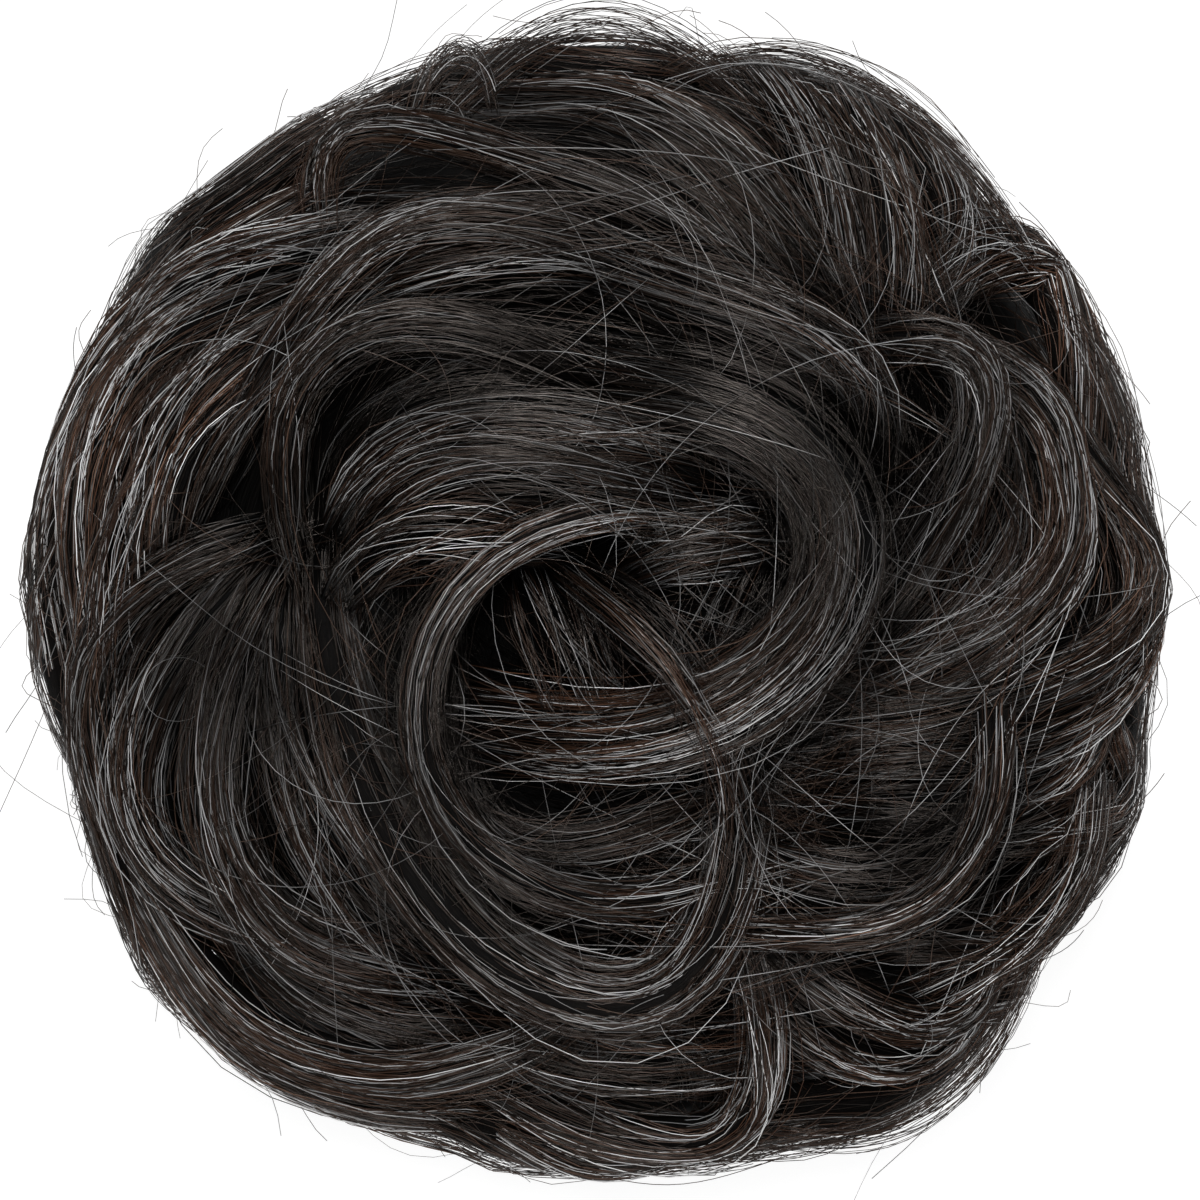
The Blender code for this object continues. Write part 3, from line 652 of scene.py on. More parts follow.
def add_strands(pile, points, radius, colours):
    """Thin three-sided tubes along the points of each strand: points are strands by rings by 3."""
    strands, rings = points.shape[:2]
    if colours.ndim == 2:
        colours = colours[:, None]
    colours = colours * depth_shade(points)[..., None]
    along = unit(np.gradient(points, axis=1))
    outward = points - np.array((0.0, 0.0, EQUATOR_HEIGHT * 0.6))
    side = unit(np.cross(along, outward))
    up = unit(np.cross(side, along))
    corners = []
    for k in range(FIBRE_SIDES):
        angle = math.pi / 2 + 2 * math.pi * k / FIBRE_SIDES
        corners.append(points + (side * math.cos(angle) + up * math.sin(angle)) * radius[..., None])
    vertices = np.stack(corners, axis=2).reshape(-1, 3)
    quads, caps = tube_faces(strands, rings)
    tint = np.repeat(colours.reshape(-1, 3), FIBRE_SIDES, axis=0)
    grain = np.zeros((strands, rings, FIBRE_SIDES, 3))
    grain[..., 0] = np.arange(strands)[:, None, None] * 0.37
    grain[..., 1] = np.linspace(0.0, 1.0, rings)[None, :, None]
    pile.add(vertices, quads, caps, tint, grain.reshape(-1, 3), STRAND_SLOT)


def add_core(pile, lock, rng, core_share):
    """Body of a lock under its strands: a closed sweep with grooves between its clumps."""
    length = lock_length(lock)
    count = max(8, round(length / CORE_STEP))
    at = lock_frames(lock, count)
    angles = np.linspace(0.0, 2 * np.pi, CORE_SIDES, endpoint=False)
    twist = rng.uniform(-1.5, 1.5) * at.t[:, None] + rng.uniform(0, 2 * np.pi)
    groove = 0.05 * np.cos(5 * angles[None] + twist) + 0.03 * np.cos(8 * angles[None] - 1.7 * twist)
    across = at.half_width[:, None] * np.cos(angles) * (core_share + groove)
    lift = at.half_thickness[:, None] * np.sin(angles) * (core_share + groove)
    ring = at.centre[:, None] + at.side[:, None] * across[..., None] + at.up[:, None] * lift[..., None]
    vertices = np.concatenate((ring.reshape(-1, 3), at.centre[:1], at.centre[-1:]))
    vertices[:, 2] = np.maximum(vertices[:, 2], CORE_FLOOR)
    quads, caps = sweep_faces(count, CORE_SIDES)
    girth = (at.half_width + at.half_thickness)[:, None] * 1000
    grain = np.zeros((count, CORE_SIDES, 3))
    grain[..., 0] = np.cos(angles)[None] * girth
    grain[..., 1] = at.t[:, None] * length * 1000
    grain[..., 2] = np.sin(angles)[None] * girth
    grain = np.concatenate((grain.reshape(-1, 3), grain[0, :1], grain[-1, :1])) + rng.uniform(0, 500, 3)
    tint = np.repeat(depth_shade(vertices)[:, None], 3, axis=1) * CORE_TINT
    pile.add(vertices, quads, caps, tint, grain, CORE_SLOT)


def fibre_colours(rng, count, grey_share, ash_share=0.13, tone=0.0):
    """A colour for each fibre: near-black, dark brown, ash brown or silver grey."""
    pick = np.clip(rng.random(count) + tone, 0.0, 0.9999)[:, None]
    black = np.array(BLACK) * rng.uniform(0.4, 1.6, (count, 1))
    brown = np.array(BROWN) * rng.uniform(0.4, 1.7, (count, 1))
    ash = np.array(ASH) * rng.uniform(0.5, 1.5, (count, 1))
    grey = np.array(GREY) * rng.uniform(0.15, 2.0, (count, 1))
    dark_share = 1.0 - grey_share - ash_share
    dark = np.where(pick > dark_share * BLACK_SHARE, brown, black)
    return np.where(pick > 1.0 - grey_share, grey, np.where(pick > dark_share, ash, dark))


def drawer(rng, count):
    """Makes a function that draws one number for each strand."""
    def draw(low, high):
        return rng.uniform(low, high, (count, 1))

    return draw


def wave(draw, low, high, run):
    """A wave along each strand, of a drawn number of turns and phase."""
    return np.sin(2 * np.pi * draw(low, high) * run + draw(0, ANY_PHASE))


def stretch(begin, finish, rings):
    """Even steps along each strand from its beginning to its end."""
    return begin + (finish - begin) * np.linspace(0.0, 1.0, rings)[None, :]


def interpolate(t, values):
    """Values at each t, from even samples along a lock that run past both its ends by OVERRUN."""
    samples = len(values)
    place = np.clip((t + OVERRUN) / (1.0 + 2 * OVERRUN), 0.0, 1.0) * (samples - 1)
    low = np.clip(np.floor(place).astype(int), 0, samples - 2)
    mix = (place - low)[..., None] if values.ndim > 1 else place - low
    return values[low] * (1 - mix) + values[low + 1] * mix


def lock_strands(lock, per_mm, rng, end_spread, look, blunt_start=False):
    """Strands that cover a lock, gathered in clumps that wander and part. Some stray from it."""
    at = lock_frames(lock, STRAND_SAMPLES, OVERRUN)
    width_mm = lock.middle.width * RADIUS * 1000
    count = max(12, round(per_mm * width_mm))
    clumps = max(4, round(width_mm * 0.75) + 2)
    clump = rng.integers(0, clumps, count)
    draw = drawer(rng, count)

    def per_clump(values):
        return values[clump][:, None]

    def draw_clump(low, high):
        return per_clump(rng.uniform(low, high, clumps))

    begin = draw(-OVERRUN, 0.03)
    if blunt_start:
        begin = draw(-0.02, 0.10)
    finish = 1.0 + draw(min(look.end - 0.15, -0.03), look.end)
    short = rng.random((count, 1)) < SHORT_SHARE
    finish = np.where(short, draw(0.35, 0.95), finish)
    where = stretch(begin, finish, lock_rings(lock) + 2)
    home = (np.arange(clumps) + 0.5) / clumps * 2 - 1 + rng.normal(0.0, 0.35 / clumps, clumps)
    wander = draw_clump(0.04, 0.17) * wave(draw_clump, 0.4, 1.3, where)
    offset = rng.normal(0.0, 1.0, (count, 1))
    gather = 0.25 + 1.1 * wave(draw, 0.25, 0.9, where)
    crossing = rng.random(clumps) < CROSSING_SHARE
    slope = per_clump(crossing * rng.choice((-1, 1), clumps) * rng.uniform(0.6, 1.9, clumps))
    lane = per_clump(np.where(crossing, rng.uniform(-0.3, 0.3, clumps), home * 1.10)) + slope * (where - 0.5)
    across = lane + wander + offset * 0.90 / clumps * gather
    single = rng.random((count, 1)) < SINGLE_SHARE
    alone = draw(-1.08, 1.08) + 0.12 * np.sin(draw(1, 5) * where + draw(0, ANY_PHASE))
    across = np.where(single, alone, across)
    bulge = np.clip(1.0 - np.abs(across / 1.06) ** 2.4, 0.0, 1.0) ** (1 / 2.4)
    across = across * look.spread
    spill = np.maximum(np.abs(across) - 1.0, 0.0)
    crest = per_clump(rng.normal(0.0, 0.12, clumps)) * wave(draw_clump, 0.3, 0.9, where)
    round_off = 0.07 * np.minimum(offset ** 2, 3.0)
    depth = rng.exponential(0.085, (count, 1))
    high = bulge * (1.04 + 0.10 * per_clump(crossing) + crest - round_off - depth) - spill * 0.9
    edge = 1.0 + end_spread * (1.0 - np.maximum(np.sin(np.pi * np.clip(where, 0.0, 1.0)), 0.0) ** 0.5)
    shift = across * interpolate(where, at.half_width) * edge
    lift = high * interpolate(where, at.half_thickness)
    ripple = wave(draw, 0.6, 2.2, where)
    shift = shift + ripple * draw(0.00005, 0.00050)
    lift = lift + ripple * draw(0.0, 0.00008)
    loose = rng.random((count, 1)) < LOOSE_SHARE
    bow = np.exp(-((where - draw(0.15, 0.85)) / draw(0.10, 0.28)) ** 2)
    shift = shift + loose * bow * rng.normal(0.0, 0.0012, (count, 1))
    lift = lift + loose * bow * draw(0.0001, 0.0008)
    leave = rng.random((count, 1)) < LEAVING_SHARE
    gone = np.clip((where - draw(0.2, 0.7)) / 0.6, 0.0, 1.0) ** 1.6
    shift = shift + leave * gone * rng.normal(0.0, 0.0032, (count, 1))
    points = interpolate(where, at.centre)
    points = points + interpolate(where, at.side) * shift[..., None]
    points = points + interpolate(where, at.up) * lift[..., None]
    radius = FIBRE_RADIUS * draw(0.72, 1.12)
    tone = rng.normal(0.0, 0.08, clumps)[clump]
    colours = fibre_colours(rng, count, look.grey_share, tone=tone)
    colours = colours * np.exp(per_clump(rng.normal(-0.05, 0.34, clumps)))
    return points, radius, colours, where


def keep_above_floor(points):
    """Fibre that comes close to what the bun rests on turns in under the bun and stays above it."""
    below = np.clip(TURN_IN_HEIGHT - points[..., 2], 0.0, TURN_IN_LIMIT)
    points[..., :2] *= (1.0 - below * TURN_IN)[..., None]
    points[..., 2] = np.maximum(points[..., 2], FIBRE_FLOOR)
    return points


# Materials


def principled(name, roughness, specular):
    material = bpy.data.materials.new(name)
    material.use_nodes = True
    shader = material.node_tree.nodes["Principled BSDF"]
    shader.inputs["Roughness"].default_value = roughness
    shader.inputs["Specular IOR Level"].default_value = specular
    return material, material.node_tree.nodes, material.node_tree.links, shader


def add_node(nodes, kind, inputs):
    node = nodes.new("ShaderNode" + kind)
    for name, value in inputs.items():
        node.inputs[name].default_value = value
    return node


def add_attribute(nodes, name):
    node = nodes.new("ShaderNodeAttribute")
    node.attribute_name = name
    return node


def join(links, rows):
    """Links an output of one node to an input of another for each row."""
    for source, output, target, socket in rows:
        links.new(source.outputs[output], target.inputs[socket])


def add_vector_math(nodes, operation):
    node = nodes.new("ShaderNodeVectorMath")
    node.operation = operation
    return node


def strand_material():
    """Fibre: its own colour with painted shade and highlight, a little lighter and darker along it, with a
    soft gloss.
    """
    material, nodes, links, shader = principled("hair_fibre", 0.28, 0.50)
    shader.inputs["Specular Tint"].default_value = (1.0, 0.88, 0.80, 1.0)
    own = add_attribute(nodes, "fibre_colour_and_shade")
    place = add_attribute(nodes, "grain")
    stretched = add_node(nodes, "Mapping", {"Scale": (3.0, 3.0, 1.0)})
    noise = add_node(nodes, "TexNoise", {"Scale": 1.0})
    ramp = add_node(nodes, "MapRange", {"To Min": 0.45, "To Max": 1.55})
    shade = add_vector_math(nodes, "SCALE")
    join(links, (
        (place, "Vector", stretched, "Vector"),
        (stretched, "Vector", noise, "Vector"),
        (noise, "Fac", ramp, "Value"),
        (own, "Color", shade, 0),
        (ramp, "Result", shade, "Scale"),
        (shade, "Vector", shader, "Base Color"),
    ))
    return material


def core_material():
    """Packed hair between the strands: streaks as fine as fibre, from near-black to ash and grey, times
    painted shade and sheen.
    """
    material, nodes, links, shader = principled("packed_hair", 0.6, 0.08)
    place = add_attribute(nodes, "grain")
    own = add_attribute(nodes, "fibre_colour_and_shade")
    drift = add_node(nodes, "TexNoise", {"Scale": 0.14})
    shift = add_vector_math(nodes, "MULTIPLY_ADD")
    shift.inputs[1].default_value = (1.6, 0.0, 1.6)
    stretched = add_node(nodes, "Mapping", {"Scale": (4.5, 0.10, 4.5)})
    noise = add_node(nodes, "TexNoise", {"Scale": 1.0, "Detail": 3.0, "Roughness": 0.65})
    ramp = nodes.new("ShaderNodeValToRGB")
    stops = ramp.color_ramp.elements
    stops[0].position = 0.44
    stops[0].color = (0.0010, 0.0007, 0.0006, 1.0)
    stops[1].position = 0.80
    stops[1].color = (0.0450, 0.0430, 0.0410, 1.0)
    stops.new(0.58).color = (0.0042, 0.0028, 0.0021, 1.0)
    stops.new(0.68).color = (0.0110, 0.0085, 0.0070, 1.0)
    bump = add_node(nodes, "Bump", {"Strength": 0.8, "Distance": 0.0002})
    shade = add_vector_math(nodes, "MULTIPLY")
    join(links, (
        (place, "Vector", drift, "Vector"),
        (drift, "Color", shift, 0),
        (place, "Vector", shift, 2),
        (shift, "Vector", stretched, "Vector"),
        (stretched, "Vector", noise, "Vector"),
        (noise, "Fac", ramp, "Fac"),
        (noise, "Fac", bump, "Height"),
        (ramp, "Color", shade, 0),
        (own, "Color", shade, 1),
        (shade, "Vector", shader, "Base Color"),
        (bump, "Normal", shader, "Normal"),
    ))
    return material


def elastic_material():
    """Covered elastic: black yarn wrapped in fine ribs round the loop."""
    material, nodes, links, shader = principled("covered_elastic", 0.75, 0.2)
    place = nodes.new("ShaderNodeTexCoord")
    ribs = add_node(nodes, "TexWave", {"Scale": 600.0, "Distortion": 1.5})
    ramp = nodes.new("ShaderNodeValToRGB")
    ramp.color_ramp.elements[0].color = (0.004, 0.004, 0.004, 1.0)
    ramp.color_ramp.elements[1].color = (0.022, 0.021, 0.020, 1.0)
    bump = add_node(nodes, "Bump", {"Strength": 0.7, "Distance": 0.0004})
    join(links, (
        (place, "Object", ribs, "Vector"),
        (ribs, "Fac", ramp, "Fac"),
        (ribs, "Fac", bump, "Height"),
        (ramp, "Color", shader, "Base Color"),
        (bump, "Normal", shader, "Normal"),
    ))
    return material


# Pieces


def tone_and_light_along(where, tones):
    """How light a lock is at each place along it, its own tone with painted highlight and shade, from the
    values at its start, middle and end.
    """
    return np.interp(where, (0.0, 0.5, 1.0), tones)[..., None] ** TONE_CONTRAST


def add_hair(pile, name, materials):
    """A piece of hair that is no single lock."""
    piece = pile.build(name, materials)
    return piece


def make_lock(lock, seed, per_mm, end_spread, materials, replaced=None):
    rng = np.random.default_rng(seed)
    pile = Pile()
    look = LOCK_LOOKS.get(lock.name, PLAIN_LOOK)
    blunt = lock.name == "blunt_lock"
    points, radius, colours, where = lock_strands(lock, per_mm * look.fill, rng, end_spread, look, blunt)
    # The lock's own tone with painted highlight and shade along it, from its look
    colours = np.minimum(colours[:, None] * tone_and_light_along(where, look.tones), LIGHTEST)
    add_strands(pile, keep_above_floor(points), radius, colours)
    add_core(pile, lock, rng, CORE_SHARE * look.fill)
    piece = pile.build(lock.name + "_hair", materials)
    if replaced:
        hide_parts(replaced)


def make_bows(materials, rings=13):
    rng = np.random.default_rng(BOW_SEED)
    draw = drawer(rng, BOW_STRANDS)
    pile = Pile()
    for bow in BOWS:
        where = stretch(draw(-0.12, 0.25), draw(0.75, 1.12), rings)
        plan = lock_route(bow, where)
        chord = np.array((bow.start.x, bow.start.y)) * (1 - where[..., None])
        chord = chord + np.array((bow.end.x, bow.end.y)) * where[..., None]
        bulge = (1.03 - np.abs(rng.normal(0.0, 0.22, (BOW_STRANDS, 1))))[..., None]
        plan = chord + (plan - chord) * bulge + rng.normal(0.0, bow.middle.width * 0.25, (BOW_STRANDS, 1, 2))
        ripple = wave(draw, 0.5, 2.0, where) * draw(0.0, 0.010)
        plan = plan * (1.0 + ripple[..., None])
        height = BOW_HEIGHT + rng.normal(0.0, 0.0030, (BOW_STRANDS, 1)) + ripple * RADIUS
        height = height + 0.0080 * (1.0 - np.sin(np.pi * np.clip(where, 0.0, 1.0)))
        points = np.concatenate((plan * RADIUS, height[..., None]), axis=-1)
        add_strands(pile, points, FIBRE_RADIUS * draw(0.6, 0.95), fibre_colours(rng, BOW_STRANDS, 0.14))
    add_hair(pile, "bow_strands", materials)


def make_fans(materials):
    rng = np.random.default_rng(FAN_SEED)
    pile = Pile()
    for lock in FANS:
        strands = lock_strands(lock, FAN_STRANDS_PER_MM, rng, THIN_END_SPREAD, FAN_LOOK)
        points, radius, colours, where = strands
        # Painted highlight and shade along each fan, with its own tone
        tones = tone_and_light_along(where, FAN_TONES_AND_LIGHT.get(lock.name, FAN_LOOK.tones))
        add_strands(pile, points, radius * 0.8, colours[:, None] * tones)
    add_hair(pile, "fan_strands", materials)


def make_side_rows(materials):
    for row in range(len(SIDE_ROWS)):
        rng = np.random.default_rng(SIDE_SEED + row)
        pile = Pile()
        for index in range(SIDE_LOCKS):
            lock = side_lock(index, row)
            strands = lock_strands(lock, SIDE_STRANDS_PER_MM, rng, THIN_END_SPREAD, SIDE_LOOK)
            points, radius, colours, _ = strands
            add_strands(pile, keep_above_floor(points), radius, colours)
            add_core(pile, lock, rng, CORE_SHARE)
        add_hair(pile, f"side_row_{row}_hair", materials)


def make_backing(materials):
    """The hollow backing: over the top with its well, down to the resting ring and up the hollow."""
    outer = DOME_RADIUS - BACKING_DEPTH
    profile = []
    for share in np.linspace(0.02, 1.0, 40)[:-1]:
        profile.append((share * outer, dome_points(np.array((share, 0.0)), backing_rise(share))[2]))
    for angle in np.linspace(0.0, np.pi / 2, 12):
        reach = RESTING_RADIUS + (outer - RESTING_RADIUS) * math.cos(angle)
        profile.append((reach, max(EQUATOR_HEIGHT * (1.0 - math.sin(angle)), BACKING_FLOOR)))
    profile += [(BAND_RADIUS, BACKING_FLOOR), (BAND_RADIUS, BAND_TOP), (HOLLOW_RADIUS, BAND_TOP)]
    for angle in np.linspace(0.0, np.pi / 2, 8):
        reach = HOLLOW_RADIUS - HOLLOW_SHOULDER * (1.0 - math.cos(angle))
        profile.append((reach, HOLLOW_HEIGHT - HOLLOW_SHOULDER * (1.0 - math.sin(angle))))
    profile = np.array(profile + [(0.004, HOLLOW_HEIGHT)])
    angles = np.linspace(0.0, 2 * np.pi, BACKING_SECTORS, endpoint=False)
    rings = len(profile)
    ring = np.zeros((rings, BACKING_SECTORS, 3))
    ring[..., 0] = profile[:, None, 0] * np.cos(angles)
    ring[..., 1] = profile[:, None, 0] * np.sin(angles)
    ring[..., 2] = profile[:, None, 1]
    poles = np.array(((0.0, 0.0, profile[0, 1]), (0.0, 0.0, profile[-1, 1])))
    vertices = np.concatenate((ring.reshape(-1, 3), poles))
    quads, caps = sweep_faces(rings, BACKING_SECTORS)
    grain = np.zeros((rings, BACKING_SECTORS, 3))
    grain[..., 0] = profile[:, None, 0] * 1000 + profile[:, None, 1] * 700
    grain[..., 1] = np.cos(angles)[None, :] * 60
    grain[..., 2] = np.sin(angles)[None, :] * 0.5
    grain = np.concatenate((grain.reshape(-1, 3), np.zeros((2, 3))))
    tint = np.full((len(vertices), 3), BACKING_TINT)
    pile = Pile()
    pile.add(vertices, quads[:, (0, 3, 2, 1)], caps[:, (1, 0, 2)], tint, grain, CORE_SLOT)
    piece = add_hair(pile, "backing_hair", materials)
    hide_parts("hair_base")


def flow_samples():
    """Places and directions along all locks, which the filling and loose strands follow."""
    plans, ways = [], []
    for lock in OUTER_LOCKS + UPPER_LOCKS:
        plan = lock_route(lock, np.linspace(0.0, 1.0, 24))
        plans.append(plan)
        ways.append(unit(np.gradient(plan, axis=0)))
    return np.concatenate(plans), np.concatenate(ways)


def flow_direction(places, previous, flow):
    """Mean direction of the locks near each place, turned the way the strand already runs."""
    plans, ways = flow
    gap = np.linalg.norm(places[:, None] - plans[None], axis=2)
    weight = np.exp(-(gap / FLOW_REACH) ** 2) + 1e-9
    sign = np.where((previous[:, None] * ways[None]).sum(axis=2) < 0, -1.0, 1.0)
    return unit(((weight * sign)[..., None] * ways[None]).sum(axis=1))


def turned(vectors, angles):
    cosine, sine = np.cos(angles), np.sin(angles)
    x = vectors[:, 0] * cosine - vectors[:, 1] * sine
    y = vectors[:, 0] * sine + vectors[:, 1] * cosine
    return np.stack((x, y), axis=1)


def trace(place, way, flow, rings, step, follow, curl):
    """Routes seen from above that start at place along way, follow the flow by a share and curl."""
    route = [place]
    for _ in range(rings - 1):
        way = turned(unit((1 - follow) * way + follow * flow_direction(place, way, flow)), curl)
        place = place + way * step[:, None]
        route.append(place)
    return np.stack(route, axis=1)


def random_places(rng, count, reach):
    share = reach * np.sqrt(rng.random(count))
    angle = rng.uniform(0, 2 * np.pi, count)
    return np.stack((share * np.cos(angle), share * np.sin(angle)), axis=1)


def nearest_ways(places, flow):
    plans, ways = flow
    return ways[np.linalg.norm(places[:, None] - plans[None], axis=2).argmin(axis=1)]


def strand_piece(name, points, radius, colours, materials):
    """A piece of loose fibre."""
    pile = Pile()
    add_strands(pile, keep_above_floor(points), radius, colours)
    add_hair(pile, name, materials)


def make_filling(materials, flow, field, strands=1900, rings=8):
    """Strands close to the backing that fill what shows of it between the locks."""
    rng = np.random.default_rng(FILLING_SEED)
    draw = drawer(rng, strands)
    place = random_places(rng, strands * 4, 0.97)
    share = np.linalg.norm(place, axis=1)
    bare = field[field_cells(place * DOME_RADIUS / RADIUS)] - dome_points(place, backing_rise(share))[:, 2]
    weight = 1.0 / (1.0 + (np.maximum(bare, 0.0) / 0.0035) ** 2)
    place = place[rng.choice(len(place), strands, replace=False, p=weight / weight.sum())]
    way = turned(nearest_ways(place, flow), rng.normal(0.0, 0.20, strands))
    step = rng.uniform(0.060, 0.098, strands)
    route = trace(place, way, flow, rings, step, 0.45, rng.normal(0, 0.04, strands))
    share = np.linalg.norm(route, axis=2)
    route = route * np.minimum(1.0, 1.0 / np.maximum(share, 1e-6))[..., None]
    lift = draw(0.0002, 0.0038) * arch(rings) ** 0.5
    points = dome_points(route, backing_rise(np.minimum(share, 1.0)) + lift)
    radius = FIBRE_RADIUS * draw(0.65, 1.05)
    strand_piece("filling_strands", points, radius, fibre_colours(rng, strands, 0.07, 0.20), materials)


def arch(rings):
    """From 0 at the ends of a strand to 1 in its middle."""
    return np.sin(np.pi * np.linspace(0.0, 1.0, rings))[None, :]


def smooth_run(values, rounds):
    for _ in range(rounds):
        values[:, 1:-1] = 0.25 * values[:, :-2] + 0.5 * values[:, 1:-1] + 0.25 * values[:, 2:]
    return values


def make_loose_strands(materials, flow, field, strands=520, rings=18):
    """Single fibres that cross the locks in long gentle arcs just above them."""
    rng = np.random.default_rng(LOOSE_SEED)
    place = random_places(rng, strands * 2, 0.93)
    way = turned(nearest_ways(place, flow), rng.normal(0.0, 0.32, len(place)))
    step = rng.uniform(0.30, 1.15, len(place)) / (rings - 1)
    route = trace(place, way, flow, rings, step, 0.06, rng.normal(0, 0.110, len(place)))
    inside = np.linalg.norm(route, axis=2).max(axis=1) < 0.97
    route = route[inside][:strands]
    strands = len(route)
    top = field[field_cells(route)]
    height = smooth_run(np.maximum(smooth_run(top.copy(), 22), top), 3)
    lift = np.abs(rng.normal(0.0, 0.0007, (strands, 1))) + 0.0001
    height = height + lift * arch(rings)
    points = np.concatenate((route * RADIUS, height[..., None]), axis=-1)
    radius = FIBRE_RADIUS * rng.uniform(0.5, 0.85, (strands, 1))
    strand_piece("loose_strands", points, radius, fibre_colours(rng, strands, 0.36, 0.30), materials)


def make_veils(materials, field, strands=1700, rings=13):
    """Thin veils of fibre that run with a lock, drift off its edges and lie over its neighbours."""
    rng = np.random.default_rng(VEIL_SEED)
    locks = OUTER_LOCKS + UPPER_LOCKS
    shares = np.array([lock.middle.width * lock_length(lock) for lock in locks])
    pile = Pile()
    for lock, share in zip(locks, shares / shares.sum()):
        count = round(strands * share)
        draw = drawer(rng, count)
        begin = draw(-0.10, 0.60)
        where = stretch(begin, np.minimum(begin + draw(0.30, 0.90), 1.12), rings)
        group = rng.integers(0, 4, count)
        lane = rng.uniform(-1.3, 1.3, 4)[group][:, None] + rng.normal(0.0, 0.35, (count, 1))
        slope = rng.normal(0.0, 1.5, 4)[group][:, None] + rng.normal(0.0, 0.5, (count, 1))
        across = lane + slope * (where - 0.5) + wave(draw, 0.3, 1.2, where) * draw(0.0, 0.25)
        at = lock_frames(lock, STRAND_SAMPLES, OVERRUN)
        shift = across * interpolate(where, at.half_width)
        points = interpolate(where, at.centre) + interpolate(where, at.side) * shift[..., None]
        own = points[..., 2] + interpolate(where, at.half_thickness)
        top = smooth_run(field[field_cells(points[..., :2] / RADIUS)], 5)
        seen = (top - own).mean(axis=1) < 0.0022
        lift = np.abs(rng.normal(0.0, 0.0004, (count, 1))) * arch(rings)
        points[..., 2] = top + lift - 0.0001
        points = points[seen]
        radius = FIBRE_RADIUS * draw(0.6, 1.0)[seen]
        if len(points):
            add_strands(pile, keep_above_floor(points), radius, fibre_colours(rng, len(points), 0.30, 0.28))
    add_hair(pile, "veil_strands", materials)


def make_fly_aways(materials, strands=1600, rings=10):
    """Short ends and bows of fibre that stand out past the outline all round."""
    rng = np.random.default_rng(FLY_AWAY_SEED)
    draw = drawer(rng, strands)
    angle = draw(0, 2 * np.pi)
    share = np.where(rng.random((strands, 1)) < 0.7, draw(0.92, 1.05), draw(1.05, 1.20))
    plan = np.concatenate((np.cos(angle), np.sin(angle)), axis=1) * share
    root = dome_points(plan, 0.0)
    outward = dome_normals(plan)
    outward[:, 2] *= 0.4
    outward = unit(outward)[:, None]
    hand = rng.choice((-1.0, 1.0), (strands, 1))
    tangent = np.concatenate((-np.sin(angle), np.cos(angle), np.zeros((strands, 1))), axis=1) * hand
    length = draw(0.004, 0.014) * np.where(rng.random((strands, 1)) < 0.12, 1.7, 1.0)
    run = np.linspace(0.0, 1.0, rings)[None, :]
    peel = rng.normal(0.0, 0.38, (strands, 1)) + 0.34
    bend = -draw(0.3, 2.0) * np.maximum(peel, 0.0) - 0.10
    rise = rng.normal(0.0, 0.25, (strands, 1))
    points = root[:, None] + tangent[:, None] * (length * run)[..., None]
    drop = length ** 2 / (2 * RADIUS) * run ** 2
    leave = length * (peel * run + bend * run ** 2 * 0.6)
    points = points + outward * (leave - drop * 0.6)[..., None]
    points[..., 2] += rise * length * run ** 1.5
    curl = wave(draw, 0.4, 1.2, run) * run * draw(0.0, 0.0032)
    points = points + outward * curl[..., None]
    points = points[np.abs(points[..., :2]).max(axis=(1, 2)) < FLY_AWAY_REACH]
    strands = len(points)
    radius = FIBRE_RADIUS * rng.uniform(0.50, 0.85, (strands, 1))
    strand_piece("fly_away_strands", points, radius, fibre_colours(rng, strands, 0.10, 0.25), materials)


# Stage


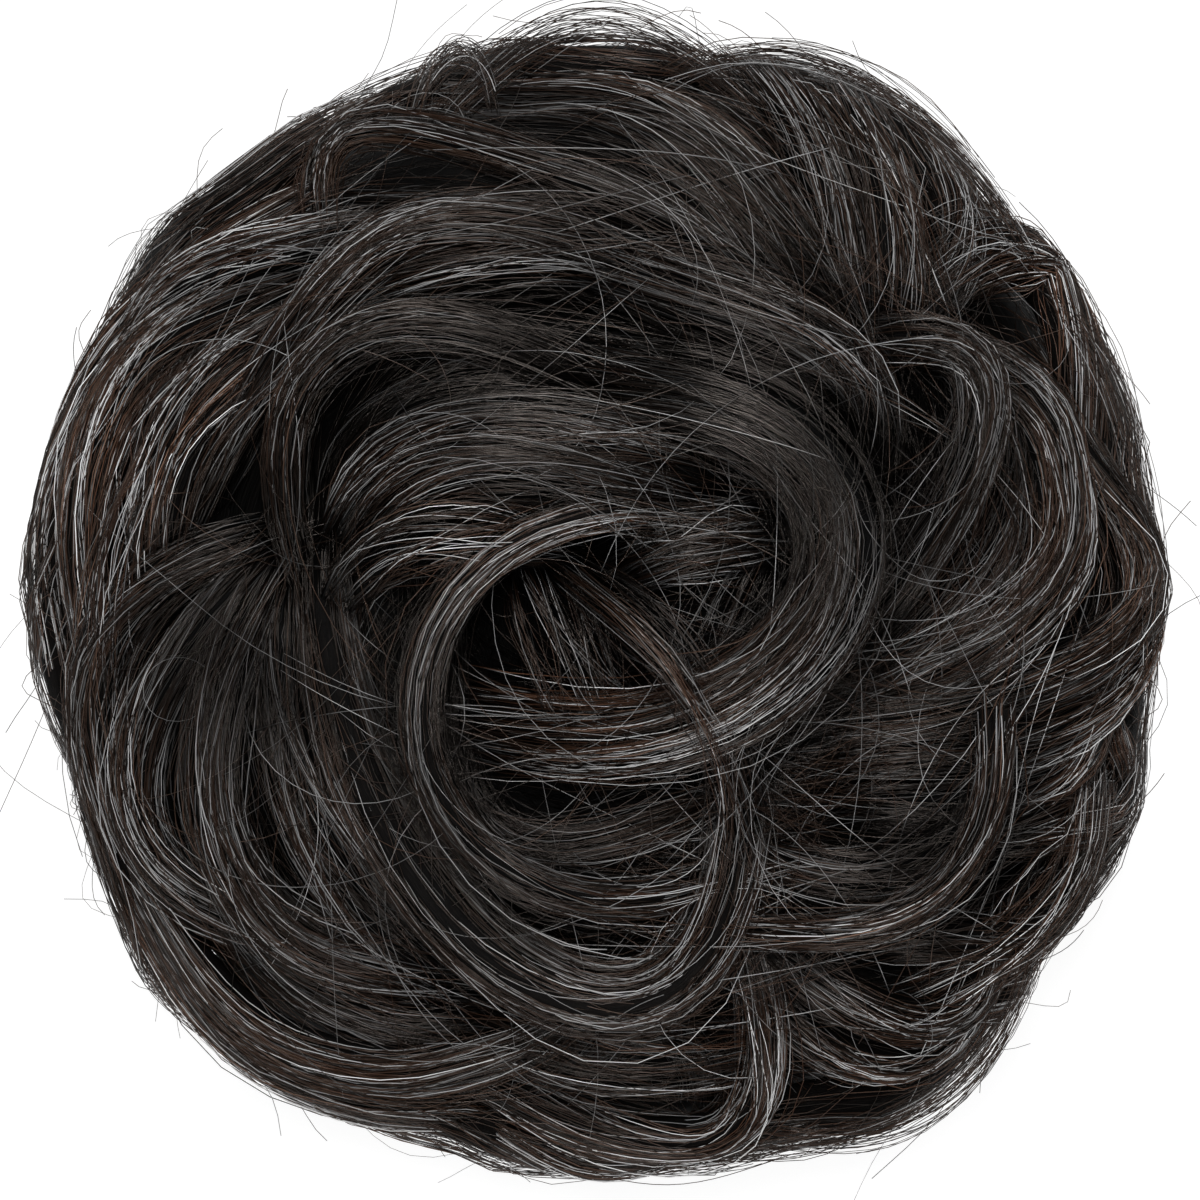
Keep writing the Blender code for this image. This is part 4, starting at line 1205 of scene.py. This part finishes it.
def make_stage():
    """Plain pale floor that reaches well past the view."""
    mesh = bpy.data.meshes.new("floor")
    corners = [(x * FLOOR_REACH, y * FLOOR_REACH, 0) for x, y in ((-1, -1), (1, -1), (1, 1), (-1, 1))]
    mesh.from_pydata(corners, [], [(0, 1, 2, 3)])
    floor = add_object("floor", mesh)
    material, _, _, shader = principled("floor_paper", 0.9, 0.1)
    shader.inputs["Base Color"].default_value = (FLOOR_TONE, FLOOR_TONE, FLOOR_TONE, 1.0)
    shader.inputs["Emission Color"].default_value = (1.0, 1.0, 1.0, 1.0)
    shader.inputs["Emission Strength"].default_value = FLOOR_GLOW
    mesh.materials.append(material)


def make_lights():
    centre = Vector((0.0, 0.0, BUN_HEIGHT / 2))
    for lamp in LAMPS:
        data = bpy.data.lights.new(lamp.name, "AREA")
        data.shape = "DISK"
        data.size = lamp.size
        data.energy = lamp.power
        light = add_object(lamp.name, data)
        light.location = lamp.place
        light.rotation_euler = (centre - Vector(lamp.place)).to_track_quat("-Z", "Y").to_euler()
    world = bpy.data.worlds.new("studio")
    world.use_nodes = True
    background = world.node_tree.nodes["Background"]
    background.inputs["Color"].default_value = (1.0, 1.0, 1.0, 1.0)
    background.inputs["Strength"].default_value = WORLD_LIGHT
    bpy.context.scene.world = world
    bpy.context.scene.view_settings.view_transform = "Standard"


def make_camera():
    """Straight above, with the frame spanning as much of the bun as the photograph's."""
    data = bpy.data.cameras.new("camera")
    data.lens = LENS
    data.sensor_width = SENSOR
    camera = add_object("camera", data)
    height = EQUATOR_HEIGHT + VIEW_SPAN * LENS / SENSOR
    camera.location = (AXIS[0] + VIEW_SHIFT[0], AXIS[1] + VIEW_SHIFT[1], height)
    camera.rotation_euler = (0.0, 0.0, 0.0)
    bpy.context.scene.camera = camera


fibre = strand_material()
packed = core_material()
hair_materials = (fibre, packed)

make_camera()
make_stage()
make_lights()
make_backing(hair_materials)
for order, lock in enumerate(OUTER_LOCKS):
    make_lock(lock, SEED + order, OUTER_STRANDS_PER_MM, OUTER_END_SPREAD, hair_materials)
for order, lock in enumerate(UPPER_LOCKS):
    make_lock(lock, UPPER_SEED + order, UPPER_STRANDS_PER_MM, UPPER_END_SPREAD, hair_materials, lock.name)
make_side_rows(hair_materials)
make_bows(hair_materials)
make_fans(hair_materials)
flow = flow_samples()
make_filling(hair_materials, flow, TOPS)
make_loose_strands(hair_materials, flow, spread(TOPS, LOOSE_ROUNDS))
make_veils(hair_materials, spread(TOPS, VEIL_ROUNDS))
make_fly_aways(hair_materials)

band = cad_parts["elastic_band"]
band.data.materials.clear()
band.data.materials.append(elastic_material())
